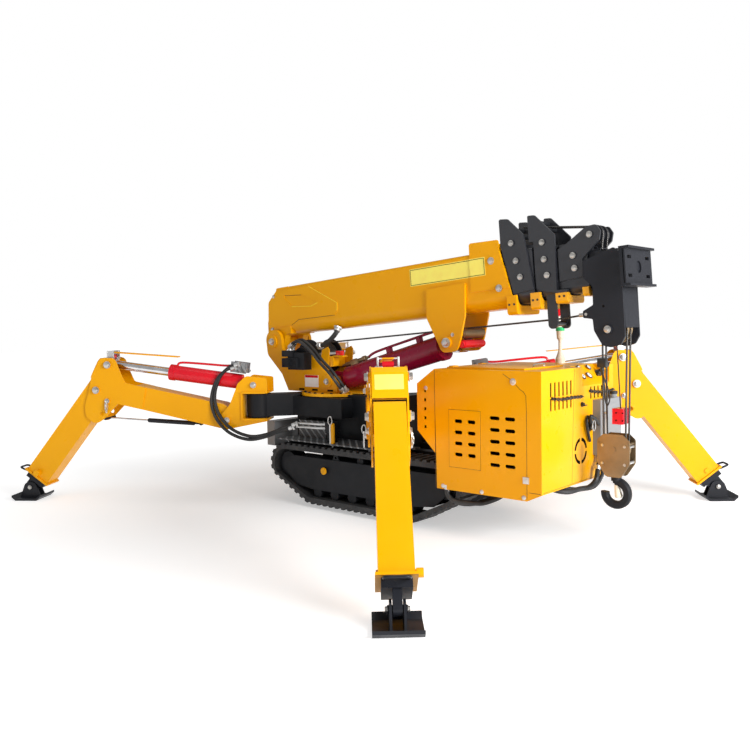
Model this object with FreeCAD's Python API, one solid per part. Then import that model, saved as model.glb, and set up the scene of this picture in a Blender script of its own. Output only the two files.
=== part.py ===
"""Tracked spider crane: telescopic boom on a slewing pillar, four folding outriggers.

Millimetres. The origin is on the ground under the middle of the four outrigger pivots.
+X points to the engine cabinet and the boom head, +Y to the machine's left, +Z up.
The machine stands parked with its outriggers spread and its boom nearly level.
"""

import FreeCAD
import Part

import math
import os

Vec = FreeCAD.Vector
PIN_GAP = 0.3          # radial play of a pin in its hole, and of a guide on its slide
RUN_GAP = 6.0          # free space between parts that move past each other

# Outriggers: places in the leg's own plane, u outwards from the swing pin and z up
PIVOT_X = 546.0
PIVOT_Y = 386.0
BOSS_R = 78.0
BOSS_Z = (552.0, 707.0)
SWING_PIN_R = 32.0
BASE_PIN = (9.0, 768.0)
ARM_PIN = (192.0, 539.0)
ROD_PIN = (996.0, 912.0)
KNEE_PIN = (1081.0, 745.0)
LOCK_PIN = (1006.0, 672.0)
SPARE_HOLE = (1048.0, 588.0)
FOOT_PIN = (1605.0, 80.0)
ARM_HALF = 75.0
KNEE_PLATE = 8.0
BRACKET_PLATE = 12.0
LEG_HALF = 70.0
LEG_OUTER = 75.0       # lower leg's outer face from the line between knee pin and foot pin
LEG_INNER = 90.0       # lower leg's inner face from the same line
COLLAR_AT = 733.0
COLLAR = 12.0
PAD_LENGTH = 200.0
PAD_WIDTH = 195.0
PAD_PLATE = 14.0
STUB_HALF = 18.0       # half width of the tongue that the foot hangs on
LIFT_BARREL_R = 50.0
LIFT_ROD_R = 29.0
LIFT_PIN_R = 20.0

# name, end of the machine (+1 front), side (+1 left), angle from the long axis in degrees
LEGS = [
    ("front_right", 1, -1, 47.6),
    ("front_left", 1, 1, 38.5),
    ("rear_left", -1, 1, 47.6),
    ("rear_right", -1, -1, 35.5),
]

# Undercarriage
TRACK_X = (-460.0, 1076.0)
TRACK_Y = (198.0, 372.0)
TRACK_BOTTOM = 24.0
TRACK_TOP = 394.0
TRACK_FLAT_X = (-120.0, 736.0)
TRACK_END_Z = 205.0
BELT = 28.0
LUG = 12.0
LUG_PITCH = 52.5
END_TURN = 0.73        # upper end radius, as a share of the height of the belt's end run
END_HEEL = 0.45        # lower end radius, the same way
WHEEL_SHARE = 0.40     # radius of idler and sprocket, the same way
ROLLERS = 6
ROLLER_R = 34.0
ROLLER_IN = 60.0       # first and last roller from the ends of the flat run
CARRIER_R = 24.0
FRAME_HALF = 50.0      # half width of a track's inner beam
FRAME_PLATE = 10.0

# Chassis
CHASSIS_HALF = 150.0
CHASSIS_X = (-430.0, 430.0)
CHASSIS_Z = (340.0, 640.0)
PLINTH = 252.0         # half width of the square plinth under the slewing ring
PLINTH_Z = 560.0
BEAM_Z = (557.0, 703.0)
BEAM_HALF = 60.0
RAIL_Z = (330.0, 400.0)
DECK_GAP = 16.0         # from the top of the tracks to the walking plates
DECK_Z = TRACK_TOP + DECK_GAP
DECK_PLATE = 8.0
SLEW_X = -170.0
RING_R = 225.0

# Cabinet
CAB_X = (920.0, 1567.0)
CAB_REAR_X = 800.0
CAB_HALF = 396.0
CAB_SKIN = 8.0
CAB_TOP = 901.0
CAB_BOTTOM = 255.0
CAB_END_BOTTOM = 294.0
FLOOR_Z = 400.0
FLOOR_PLATE = 12.0
CONSOLE_Y = (CAB_HALF - 370.0, CAB_HALF - 45.0)
CONSOLE_DEPTH = 100.0
CONSOLE_DROP = 100.0
CHEEK_PLATE = 5.0
# gauges: from the console's right end, up the slope from its middle, radius
GAUGES = [
    (22.0, 44.0, 15.0),
    (118.0, 44.0, 17.0),
    (224.0, 44.0, 15.0),
    (80.0, -12.0, 18.0),
    (153.0, -12.0, 18.0),
]
LEVER_AT = 283.0
TANK_DEPTH = 53.0
TANK_WIDTH = 245.0
TANK_Z = (423.0, 721.0)
BEACON_AT = (1266.0, 350.0)
VENT_HEIGHT = 19.0
LOUVRE_HALF = 7.0
FAN_AT = (10.0, 462.0)
FAN_R = (52.0, 70.0)
SPOKE_HALF = 8.0

# Turret
DISC_R = 255.0
DISC_Z = (690.0, 708.0)
PLATE_IN = 119.0
PLATE_OUT = 143.0
BOOM_PIN = (-667.0, 1040.0)
BOOM_PIN_R = 36.0
LUFF_BASE = (-144.0, 781.0)
LUFF_PIN_R = 32.0
WINCH_AT = (-350.0, 940.0)
WINCH_SHAFT_R = 20.0
DRUM_R = 80.0
DRUM_FLANGE_R = 112.0
DRUM_HALF = 104.0

# Boom: places in the boom's own plane, s along it from its pin and t square to it
LUFF_DEG = 4.1
LUFF_EYE = (1471.0, -112.0)
LUFF_BARREL_R = 75.0
LUFF_ROD_R = 45.0
LUFF_EYE_HALF = 45.0
PAD = 80.0
HEAD_SHEAVE = (2433.0, -116.0)
HEAD_SHEAVE_R = 72.0
TOP_SHEAVE = (2363.0, 365.0)
TOP_SHEAVE_R = 52.0
HEAD_IN = 78.0
HEAD_OUT = 90.0
SHEAVE_HALF = 11.0
GROOVE = 12.0
FALL_Y = 20.0          # rope falls and head sheaves from the middle plane
DOUBLER = 4.0          # thickness of the plates on the heel's sides
CHANNEL_S = (2540.0, 2590.0)
CHANNEL_T = (82.0, 274.0)
CHANNEL_HALF = 155.0
CHANNEL_PLATE = 12.0
COLLAR_TOP = 108.0

# name, half width, lower face t, upper face t, rear end s, front end s, wall
SECTIONS = [
    ("base", 110.0, 44.0, 365.0, 150.0, 1910.0, 7.0),
    ("second", 95.0, 57.0, 348.0, 160.0, 2040.0, 6.0),
    ("third", 80.0, 69.0, 332.0, 200.0, 2170.0, 6.0),
    ("fourth", 65.0, 81.0, 317.0, 240.0, 2335.0, 6.0),
    ("head", 50.0, 93.0, 296.0, 280.0, 2400.0, 6.0),
]

# trough under each front end: section, first s, last s, lowest t, width over the tube
COLLARS = [
    ("base", 1880.0, 1940.0, 5.0, 8.0),
    ("second", 2020.0, 2075.0, 20.0, 12.0),
    ("third", 2158.0, 2225.0, 38.0, 12.0),
    ("fourth", 2300.0, 2335.0, 62.0, 6.0),
]

# Hook block
BLOCK_TOP = 570.0
BLOCK_BOTTOM = 352.0
BLOCK_HALF_X = 86.0
BLOCK_SHEAVE_R = 64.0
AXLE_DOWN = 78.0       # sheave axle below the block's top
CHEEK_IN = 32.5
CHEEK = 6.0
HOOK_R = (40.0, 80.0)
HOOK_HALF = 17.0
HOOK_CHAMFER = 8.0
HOOK_MIDDLE_Z = 266.0
SHANK_R = 18.0
ROPE_R = 5.0
WEIGHT_X = (-5.0, 50.0)
WEIGHT_HALF = 38.0
WEIGHT_Z = (622.0, 701.0)


def bend(points):
    """Closed wire through points (a, b) or (a, b, radius), its corners rounded, in XZ."""
    corners = []
    count = len(points)
    for i, point in enumerate(points):
        here = Vec(point[0], 0, point[1])
        radius = point[2] if len(point) > 2 else 0
        if not radius:
            corners.append((here, here, here))
            continue
        last = points[i - 1]
        following = points[(i + 1) % count]
        back = (Vec(last[0], 0, last[1]) - here).normalize()
        on = (Vec(following[0], 0, following[1]) - here).normalize()
        half = back.getAngle(on) / 2
        reach = radius / math.tan(half)
        middle = (back + on).normalize() * (radius / math.sin(half) - radius)
        corners.append((here + back * reach, here + middle, here + on * reach))
    edges = []
    for i, (start, middle, end) in enumerate(corners):
        if start.distanceToPoint(end) > 1e-6:
            edges.append(Part.Arc(start, middle, end).toShape())
        onward = corners[(i + 1) % count][0]
        if end.distanceToPoint(onward) > 1e-6:
            edges.append(Part.LineSegment(end, onward).toShape())
    return Part.Wire(edges)


def plate(points, y0, y1, holes=()):
    """Prism of an XZ outline from y0 to y1, with round holes (x, z, radius)."""
    face = Part.Face(bend(points))
    solid = face.extrude(Vec(0, y1 - y0, 0))
    solid.translate(Vec(0, y0, 0))
    for x, z, radius in holes:
        solid = solid.cut(rod_y(x, z, radius, y0 - 1, y1 + 1))
    return solid


def pair(points, y0, y1, holes=()):
    """The same plate on both sides of the middle plane."""
    return [plate(points, y0, y1, holes), plate(points, -y1, -y0, holes)]


def box(x0, x1, y0, y1, z0, z1):
    return Part.makeBox(x1 - x0, y1 - y0, z1 - z0, Vec(x0, y0, z0))


def rod_x(y, z, radius, x0, x1):
    return Part.makeCylinder(radius, x1 - x0, Vec(x0, y, z), Vec(1, 0, 0))


def rod_y(x, z, radius, y0, y1):
    return Part.makeCylinder(radius, y1 - y0, Vec(x, y0, z), Vec(0, 1, 0))


def rod_z(x, y, radius, z0, z1):
    return Part.makeCylinder(radius, z1 - z0, Vec(x, y, z0))


def prism_x(points, start, end):
    """Prism of a YZ outline from start to end along X."""
    wire = bend(points)
    wire.rotate(Vec(0, 0, 0), Vec(0, 0, 1), 90)
    solid = Part.Face(wire).extrude(Vec(end - start, 0, 0))
    solid.translate(Vec(start, 0, 0))
    return solid


def fuse(shapes):
    solid = shapes[0]
    if len(shapes) > 1:
        solid = solid.fuse(shapes[1:])
    return solid.removeSplitter()


def cut(solid, tools):
    return solid.cut(tools).removeSplitter()


def mirrored(solid):
    """The same solid on the other side of the middle plane."""
    return solid.mirror(Vec(0, 0, 0), Vec(0, 1, 0))


def placed(solid, point, degrees):
    """Turn a solid built along +X up by an angle, and move its origin to point (x, z)."""
    moved = solid.copy()
    moved.rotate(Vec(0, 0, 0), Vec(0, 1, 0), -degrees)
    moved.translate(Vec(point[0], 0, point[1]))
    return moved


def bearing(start, end):
    """Length and rise in degrees of the line from start to end."""
    run = end[0] - start[0]
    rise = end[1] - start[1]
    return math.hypot(run, rise), math.degrees(math.atan2(rise, run))


# Cylinders

def cylinder_pair(length, tube, stroke_room, radii, eyes, pin_r):
    """Barrel and rod of a hydraulic cylinder along +X, its base eye at the origin.

    tube is where the barrel starts and ends, stroke_room where the rod's inner end is,
    radii are (barrel, rod), eyes are (eye radius, half width of each).
    """
    barrel_r, rod_r = radii
    eye_r, half = eyes
    start, end = tube
    neck = box(0, start + 5, -half * 0.8, half * 0.8, -eye_r * 0.75, eye_r * 0.75)
    barrel = fuse([
        rod_y(0, 0, eye_r, -half, half),
        neck,
        rod_x(0, 0, barrel_r, start, end),
        rod_x(0, 0, barrel_r + 4, end - 34, end),
    ])
    barrel = cut(barrel, [
        rod_y(0, 0, pin_r + PIN_GAP, -half - 1, half + 1),
        rod_x(0, 0, barrel_r * 0.82, start + 18, end - 26),
        rod_x(0, 0, rod_r + PIN_GAP, end - 27, end + 1),
    ])
    rod = fuse([
        rod_x(0, 0, rod_r, stroke_room, length),
        rod_x(0, 0, barrel_r * 0.82 - PIN_GAP, stroke_room, stroke_room + 24),
        rod_y(length, 0, eye_r, -half, half),
    ])
    rod = cut(rod, [rod_y(length, 0, pin_r + PIN_GAP, -half - 1, half + 1)])
    return barrel, rod


# Outriggers

def leg_bracket():
    """Forked root that swings round the chassis boss and carries arm and cylinder."""
    inner = ARM_HALF + RUN_GAP
    outer = inner + BRACKET_PLATE
    low = BOSS_Z[0] - 5
    high = BOSS_Z[1] + 5
    web = BOSS_R + 6
    outline = [
        (-80, 811, 14), (59, 826, 30), (114, 778, 20), (172, 640, 20), (245, 560, 30),
        (235, 470, 30), (-76, 530), (-76, low), (web, low), (web, high), (-80, high),
    ]
    sides = pair(outline, inner, outer)
    return fuse(sides + [
        box(-80, web + 16, -inner, inner, high, high + 8),
        box(-76, web + 16, -inner, inner, low - 16, low),
        box(web, web + 16, -inner, inner, low - 16, high + 8),
        rod_z(0, 0, SWING_PIN_R, low - 30, high + 8),
        rod_y(BASE_PIN[0], BASE_PIN[1], LIFT_PIN_R, -outer - 8, outer + 8),
        rod_y(ARM_PIN[0], ARM_PIN[1], 22, -outer - 8, outer + 8),
    ])


def leg_arm():
    """Box arm from its root pin to the two knee plates and the cover between them."""
    body = [
        (226, 644, 30), (806, 772), (903, 643), (250, 486, 40), (140, 478, 50), (140, 600, 50),
    ]
    knee = [
        (946, 957, 40), (1046, 957, 45), (1108, 850, 20), (1133, 745, 20), (1166, 632, 20),
        (1160, 566, 40), (1095, 514, 50), (1037, 549, 20), (973, 613, 20), (935, 650, 10),
        (770, 612), (740, 757), (882, 791, 20), (917, 872, 20),
    ]
    cover = [(1046, 949), (1062, 930), (1105, 850), (1114, 828), (1122, 828), (1112, 852),
             (1068, 936), (1050, 957)]
    outer = ARM_HALF + KNEE_PLATE
    eye_gap = 35.0
    arm = fuse(
        [plate(body, -ARM_HALF, ARM_HALF, [(ARM_PIN[0], ARM_PIN[1], 22 + PIN_GAP)])]
        + pair(knee, ARM_HALF, outer, [(SPARE_HOLE[0], SPARE_HOLE[1], 14)])
        + [plate(cover, -ARM_HALF, ARM_HALF)]
        + [rod_y(KNEE_PIN[0], KNEE_PIN[1], 25, -outer - 8, outer + 8)]
        + [rod_y(*ROD_PIN, LIFT_PIN_R, eye_gap, outer + 8)]
        + [rod_y(*ROD_PIN, LIFT_PIN_R, -outer - 8, -eye_gap)]
        + [rod_y(*LOCK_PIN, 18, ARM_HALF, outer + 8)]
        + [rod_y(*LOCK_PIN, 18, -outer - 8, -ARM_HALF)]
    )
    return arm


def leg_lower():
    """Lower leg along the line from knee pin to foot pin."""
    length, fall = bearing(KNEE_PIN, FOOT_PIN)
    head = [
        (0, LEG_OUTER), (COLLAR_AT, LEG_OUTER), (COLLAR_AT, -LEG_INNER), (0, -LEG_INNER, 30),
        (-LEG_OUTER, -LEG_INNER * 0.5, 40), (-LEG_OUTER, LEG_OUTER, 60),
    ]
    stub_end = length - 62
    catch_at = COLLAR_AT - 26
    lower = fuse([
        plate(head, -LEG_HALF, LEG_HALF),
        box(COLLAR_AT, COLLAR_AT + COLLAR, -LEG_HALF - 12, LEG_HALF + 12,
            -LEG_INNER - 12, LEG_OUTER + 12),
        box(COLLAR_AT + COLLAR, stub_end, -LEG_HALF + 10, LEG_HALF - 10,
            -LEG_INNER + 14, LEG_OUTER - 14),
        plate([(stub_end, 44, 0), (length + 32, 44, 30), (length + 32, -44, 30),
               (stub_end, -44, 0)], -STUB_HALF, STUB_HALF),
        rod_y(catch_at, 0, 14, -LEG_HALF - 8, LEG_HALF + 12),
        rod_y(catch_at, 0, 19, LEG_HALF + 8, LEG_HALF + 36),
    ])
    lower = cut(lower, [
        rod_y(0, 0, 25 + PIN_GAP, -LEG_HALF - 1, LEG_HALF + 1),
        rod_y(length, 0, 16 + PIN_GAP, -40, 40),
    ])
    return placed(lower, KNEE_PIN, fall)


def leg_foot():
    """Ground pad with turned-up ends and two ears round the foot pin."""
    half = PAD_LENGTH / 2
    end = half - 26
    x, z = FOOT_PIN
    pad = [
        (x - end, 0), (x + end, 0), (x + half, 22), (x + half, 22 + PAD_PLATE),
        (x + end - 4, PAD_PLATE), (x - end + 4, PAD_PLATE), (x - half, 22 + PAD_PLATE),
        (x - half, 22),
    ]
    ear = [(x - end, PAD_PLATE - 2), (x + end, PAD_PLATE - 2), (x + 34, z + 34, 32),
           (x - 34, z + 34, 32)]
    return fuse([
        plate(pad, -PAD_WIDTH / 2, PAD_WIDTH / 2),
        *pair(ear, STUB_HALF + 4, STUB_HALF + 14),
        rod_y(x, z, 16, -STUB_HALF - 20, STUB_HALF + 20),
    ])


def leg_solids():
    """Every moving piece of one leg, in the leg's own plane."""
    length, rise = bearing(BASE_PIN, ROD_PIN)
    barrel, rod = cylinder_pair(
        length, (100, 592), 430, (LIFT_BARREL_R, LIFT_ROD_R), (40, 30), LIFT_PIN_R)
    return {
        "bracket": leg_bracket(),
        "arm": leg_arm(),
        "lower_leg": leg_lower(),
        "foot": leg_foot(),
        "lift_barrel": placed(barrel, BASE_PIN, rise),
        "lift_rod": placed(rod, BASE_PIN, rise),
    }


def outriggers():
    solids = leg_solids()
    parts = {}
    for name, end, side, angle in LEGS:
        heading = side * angle if end > 0 else side * (180 - angle)
        for piece, solid in solids.items():
            moved = solid.copy()
            moved.rotate(Vec(0, 0, 0), Vec(0, 0, 1), heading)
            moved.translate(Vec(end * PIVOT_X, side * PIVOT_Y, 0))
            parts[f"{piece}_{name}"] = moved
    return parts


# Tracks

def belt_path(inset):
    """Closed line of the belt, inset from the tips of its lugs."""
    x0, x1 = TRACK_X[0] + inset, TRACK_X[1] - inset
    low, high = TRACK_BOTTOM + inset, TRACK_TOP - inset
    flat0, flat1 = TRACK_FLAT_X
    run = TRACK_TOP - TRACK_END_Z
    turn = END_TURN * run - inset
    heel = END_HEEL * run - inset
    return bend([
        (x0, high, turn), (x0, TRACK_END_Z, heel), (flat0 + inset * 0.25, low, 90),
        (flat1 - inset * 0.25, low, 90), (x1, TRACK_END_Z, heel), (x1, high, turn),
    ])


def track_belt():
    """Rubber belt: its outer outline carries a lug at every pitch."""
    path = belt_path(LUG)
    count = int(path.Length // LUG_PITCH)
    steps = 10
    dots = path.discretize(Number=count * steps + 1)[:-1]
    total = len(dots)
    corners = []
    for i in range(count):
        for step, height in ((0, 0.0), (1, LUG), (5, LUG), (6, 0.0)):
            at = i * steps + step
            along = dots[(at + 1) % total] - dots[at - 1]
            outward = Vec(along.z, 0, -along.x).normalize()
            middle = Vec((TRACK_X[0] + TRACK_X[1]) / 2, 0, (TRACK_BOTTOM + TRACK_TOP) / 2)
            if outward.dot(dots[at] - middle) < 0:
                outward = -outward
            corners.append(dots[at] + outward * height)
    width = Vec(0, TRACK_Y[1] - TRACK_Y[0], 0)
    belt = Part.Face(Part.makePolygon(corners + corners[:1])).extrude(width)
    belt = belt.cut(Part.Face(belt_path(LUG + BELT)).extrude(width))
    belt.translate(Vec(0, TRACK_Y[0], 0))
    return belt


def track_frame():
    """Beam, side plates, idler, rollers and sprocket inside one belt."""
    middle = (TRACK_Y[0] + TRACK_Y[1]) / 2
    inside = LUG + BELT
    run = TRACK_TOP - TRACK_END_Z
    bottom = TRACK_BOTTOM + inside + PIN_GAP
    top = TRACK_TOP - inside - PIN_GAP
    wheel_r = WHEEL_SHARE * run
    wheel_z = TRACK_TOP - END_TURN * run
    idler_x = TRACK_X[0] + END_TURN * run
    sprocket_x = TRACK_X[1] - END_TURN * run
    beam_y = (middle - FRAME_HALF, middle + FRAME_HALF)
    beam_top = top - 39
    beam_foot = bottom + 72
    beam = [(idler_x + 76, beam_foot), (idler_x + 96, beam_top, 20),
            (sprocket_x - 83, beam_top, 20), (sprocket_x - 68, beam_foot)]
    arm = wheel_r * 0.45
    side = [
        (idler_x + 60, beam_top, 20), (idler_x - arm, wheel_z + arm, 20),
        (idler_x - arm, wheel_z - arm, 20), (idler_x + 75, bottom + 66, 10),
        (idler_x + 230, bottom + 50, 20), (sprocket_x - 218, bottom + 50, 20),
        (sprocket_x - 75, bottom + 66, 10), (sprocket_x + arm, wheel_z - arm, 20),
        (sprocket_x + arm, wheel_z + arm, 20), (sprocket_x - 58, beam_top, 20),
    ]
    plates = [
        plate(side, beam_y[1], beam_y[1] + FRAME_PLATE),
        plate(side, beam_y[0] - FRAME_PLATE, beam_y[0]),
    ]
    wheels = [
        rod_y(idler_x, wheel_z, wheel_r, *beam_y),
        rod_y(sprocket_x, wheel_z, wheel_r, *beam_y),
        rod_y((idler_x + sprocket_x) / 2, top - CARRIER_R, CARRIER_R, *beam_y),
    ]
    first = TRACK_FLAT_X[0] + ROLLER_IN
    last = TRACK_FLAT_X[1] - ROLLER_IN
    for i in range(ROLLERS):
        x = first + (last - first) * i / (ROLLERS - 1)
        wheels.append(rod_y(x, bottom + ROLLER_R, ROLLER_R, *beam_y))
    motor = rod_y(sprocket_x, wheel_z, wheel_r * 0.75, beam_y[1], beam_y[1] + 24)
    cap_x = idler_x + 341
    cap = rod_y(cap_x, beam_top - 71, 20, beam_y[1], beam_y[1] + 22)
    lug_x = cap_x + 89
    lug = plate([(lug_x - 28, beam_top), (lug_x - 14, top - 6, 12), (lug_x + 14, top - 6, 12),
                 (lug_x + 28, beam_top)], beam_y[1] - 8, beam_y[1] + 4,
                [(lug_x, beam_top + 16, 8)])
    return fuse([plate(beam, *beam_y)] + plates + wheels + [motor, cap, lug])


def undercarriage():
    belt = track_belt()
    frame = track_frame()
    return {
        "track_belt_left": belt,
        "track_belt_right": mirrored(belt),
        "track_frame_left": frame,
        "track_frame_right": mirrored(frame),
    }


# Chassis and what stands on it

def outrigger_beam(end, side):
    """Beam from the chassis box to one swing boss, with the boss and its bore."""
    root_x = end * 330.0
    root_y = side * 120.0
    boss_x = end * PIVOT_X
    boss_y = side * PIVOT_Y
    length = math.hypot(boss_x - root_x, boss_y - root_y)
    beam = box(-40, length, -BEAM_HALF, BEAM_HALF, BEAM_Z[0], BEAM_Z[1])
    heading = math.degrees(math.atan2(boss_y - root_y, boss_x - root_x))
    beam.rotate(Vec(0, 0, 0), Vec(0, 0, 1), heading)
    beam.translate(Vec(root_x, root_y, 0))
    boss = rod_z(boss_x, boss_y, BOSS_R, BOSS_Z[0], BOSS_Z[1])
    bore = rod_z(boss_x, boss_y, SWING_PIN_R + PIN_GAP, BOSS_Z[0] - 1, BOSS_Z[1] + 1)
    return cut(fuse([beam, boss]), [bore])


def turntable_well():
    """Room for the slewing ring and the disc above it."""
    step = DISC_Z[0] - RUN_GAP
    return fuse([
        rod_z(SLEW_X, 0, RING_R + 10 + RUN_GAP, CHASSIS_Z[1], step + 1),
        rod_z(SLEW_X, 0, DISC_R + RUN_GAP, step, BEAM_Z[1] + 1),
    ])


def chassis_frame():
    """Welded box with its plinth under the slewing ring and cross beams to the tracks."""
    half = CHASSIS_HALF
    x0, x1 = CHASSIS_X
    track_in = (TRACK_Y[0] + TRACK_Y[1]) / 2 - FRAME_HALF - FRAME_PLATE
    solids = [
        box(x0, x1, -half, half, CHASSIS_Z[0], BEAM_Z[1]),
        box(SLEW_X - PLINTH, SLEW_X + PLINTH, -PLINTH, PLINTH, PLINTH_Z, DISC_Z[0] - RUN_GAP),
    ]
    for x in (-120.0, 360.0):
        solids.append(box(x, x + 130, -track_in, track_in, 180, CHASSIS_Z[0] + 5))
    return cut(fuse(solids), [turntable_well()])


def outrigger_beams(frame):
    """The four beams, each up to the face of the chassis box."""
    beams = []
    for _, end, side, _ in LEGS:
        beams.append(cut(outrigger_beam(end, side), [frame, turntable_well()]))
    return Part.makeCompound(beams)


def cabinet_floor(frame):
    """Two rails from the chassis box forward, and the tray under the engine."""
    half = CHASSIS_HALF
    x0, x1 = CHASSIS_X[1], CAB_X[0]
    end = CAB_X[1] - CAB_SKIN
    inner = CAB_HALF - CAB_SKIN
    tray = fuse([
        box(x0, x1, -half, -half + 60, *RAIL_Z),
        box(x0, x1, half - 60, half, *RAIL_Z),
        box(x1 - 5, end, -half, half, RAIL_Z[0], FLOOR_Z),
        box(x1 + 4, end, -inner, inner, FLOOR_Z, FLOOR_Z + FLOOR_PLATE),
    ])
    return cut(tray, [frame])


def deck():
    """Walking plates over the tracks, each on two brackets off the chassis box."""
    outer = TRACK_Y[1] - 12
    solids = []
    for side in (-1, 1):
        near = side * CHASSIS_HALF
        far = side * outer
        y0, y1 = min(near, far), max(near, far)
        panel = box(-395, 620, y0, y1, DECK_Z, DECK_Z + DECK_PLATE)
        ribs = [box(x, x + 12, y0, y1, DECK_Z - 10, DECK_Z) for x in (-300, 100, 400)]
        upright = side * (CHASSIS_HALF + 80)
        crate = box(-330, -80, min(near, upright), max(near, upright), DECK_Z, DECK_Z + 120)
        solids.append(fuse([panel, crate] + ribs))
    return Part.makeCompound(solids)


def slew_ring():
    ring = rod_z(SLEW_X, 0, RING_R + 10, CHASSIS_Z[1], DISC_Z[0] - PIN_GAP)
    return cut(ring, [rod_z(SLEW_X, 0, RING_R - 70, CHASSIS_Z[1] - 1, DISC_Z[0] + 1)])


def rear_guard():
    """Grey end weight across the chassis behind the tracks, on its own two feet."""
    weight = box(-590, -515, -283, 283, 347, 511)
    feet = [box(-516, CHASSIS_X[0], y - 30, y + 30, 400, 470) for y in (-95, 95)]
    return fuse([weight] + feet)


def slot_z(x, z, length, height, y0, y1):
    """Slot along X with cut corners, to cut a side panel."""
    run, rise = length / 2, height / 2
    corner = height * 0.3
    return plate([
        (x - run, z - rise + corner), (x - run + corner, z - rise),
        (x + run - corner, z - rise), (x + run, z - rise + corner),
        (x + run, z + rise - corner), (x + run - corner, z + rise),
        (x - run + corner, z + rise), (x - run, z + rise - corner),
    ], y0, y1)


# first x, pitch x, columns, top z, pitch z, rows, slot length
SIDE_VENTS = [
    (1073.0, 83.0, 2, 628.0, 59.0, 4, 50.0),
    (1298.0, 91.0, 2, 658.0, 60.0, 5, 61.0),
]

# first y, pitch y, count, lower z, upper z
END_LOUVRES = [
    (-303.0, 41.4, 6, 700.0, 762.0),
    (-303.0, 41.4, 6, 768.0, 840.0),
    (126.0, 42.0, 4, 728.0, 757.0),
    (126.0, 42.0, 4, 766.0, 792.0),
]


def cabinet_side():
    """Left side panel with its two groups of vents."""
    y0, y1 = CAB_HALF - CAB_SKIN, CAB_HALF
    outline = [
        (CAB_X[0], CAB_TOP), (CAB_X[1], CAB_TOP), (CAB_X[1], CAB_END_BOTTOM),
        (CAB_X[1] - 83, CAB_BOTTOM), (CAB_X[0] + 8, CAB_BOTTOM),
    ]
    panel = plate(outline, y0, y1)
    vents = []
    for x, pitch_x, columns, z, pitch_z, rows, length in SIDE_VENTS:
        for i in range(columns):
            for j in range(rows):
                vents.append(slot_z(x + i * pitch_x, z - j * pitch_z, length, VENT_HEIGHT,
                                    y0 - 1, y1 + 1))
    return cut(panel, vents)


def cabinet_sides():
    left = cabinet_side()
    return Part.makeCompound([left, mirrored(left)])


def console_cutter():
    x1, z1 = CAB_X[1], CAB_TOP
    return plate([(x1 - CONSOLE_DEPTH, z1 + 5), (x1 + 5, z1 + 5), (x1 + 5, z1 - CONSOLE_DROP),
                  (x1 - CONSOLE_DEPTH, z1 - CONSOLE_DROP)], CONSOLE_Y[0], CONSOLE_Y[1])


def cabinet_top():
    inner = CAB_HALF - CAB_SKIN
    lid = box(CAB_X[0], CAB_X[1] - CAB_SKIN, -inner, inner, CAB_TOP - CAB_SKIN, CAB_TOP)
    return cut(lid, [console_cutter()])


def cabinet_end():
    """End panel with upright louvres, the fan's opening and the console's notch."""
    inner = CAB_HALF - CAB_SKIN
    x0, x1 = CAB_X[1] - CAB_SKIN - 1, CAB_X[1] + 1
    panel = box(CAB_X[1] - CAB_SKIN, CAB_X[1], -inner, inner, CAB_END_BOTTOM, CAB_TOP)
    tools = [console_cutter()]
    for first, pitch, count, z0, z1 in END_LOUVRES:
        for i in range(count):
            y = first + i * pitch
            tools.append(box(x0, x1, y - LOUVRE_HALF, y + LOUVRE_HALF, z0, z1))
    y, z = FAN_AT
    inner_r, outer_r = FAN_R
    spokes = [
        rod_x(y, z, inner_r, x0 - 1, x1 + 1),
        box(x0 - 1, x1 + 1, y - SPOKE_HALF, y + SPOKE_HALF, z - outer_r, z + outer_r),
        box(x0 - 1, x1 + 1, y - outer_r, y + outer_r, z - SPOKE_HALF, z + SPOKE_HALF),
    ]
    tools.append(rod_x(y, z, outer_r, x0, x1).cut(spokes))
    return cut(panel, tools)


def cabinet_rear():
    """Hollow cover with sloping top and bottom that closes the cabinet towards the pillar."""
    x0, x1 = CAB_REAR_X, CAB_X[0]
    skin = CAB_SKIN
    outer = [(x1, CAB_TOP), (x0, 818), (x0, 562), (x1, 445)]
    inner = [(x1 + 1, CAB_TOP - skin * 1.3), (x0 + skin, 813), (x0 + skin, 567),
             (x1 + 1, 445 + skin * 1.3)]
    cover = plate(outer, -CAB_HALF, CAB_HALF)
    tools = [plate(inner, -CAB_HALF + skin, CAB_HALF - skin)]
    for side in (-1, 1):
        y = side * CAB_HALF
        for i in range(5):
            z = 780 - i * 49
            tools.append(box(x0 + 46, x0 + 62, min(y, y - side * 10), max(y, y - side * 10),
                             z - 8, z + 8))
    return cut(cover, tools)


def control_console():
    """Sloping panel with its two end cheeks, set in the corner of top and end panel."""
    x1, z1 = CAB_X[1], CAB_TOP
    x0, z0 = x1 - CONSOLE_DEPTH, z1 - CONSOLE_DROP
    y0, y1 = CONSOLE_Y
    cheek = [(x0, z1), (x1, z1), (x1, z0)]
    solids = [
        plate([(x0, z1), (x1, z0), (x1 - 12, z0), (x0, z1 - 12)], y0, y1),
        plate(cheek, y0, y0 + CHEEK_PLATE),
        plate(cheek, y1 - CHEEK_PLATE, y1),
    ]
    middle = Vec((x0 + x1) / 2, 0, (z0 + z1) / 2)
    normal = Vec(CONSOLE_DROP, 0, CONSOLE_DEPTH).normalize()
    up_slope = Vec(-normal.z, 0, normal.x)
    for from_edge, up, radius in GAUGES:
        at = middle + up_slope * up + Vec(0, y0 + from_edge, 0)
        solids.append(Part.makeCylinder(radius, 14, at - normal * 6, normal))
    foot = middle + Vec(0, y0 + LEVER_AT, 0)
    solids.append(Part.makeCylinder(7, 62, foot - normal * 4, normal))
    solids.append(Part.makeCone(15, 9, 24, foot + normal * 50, normal))
    return fuse(solids)


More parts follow.
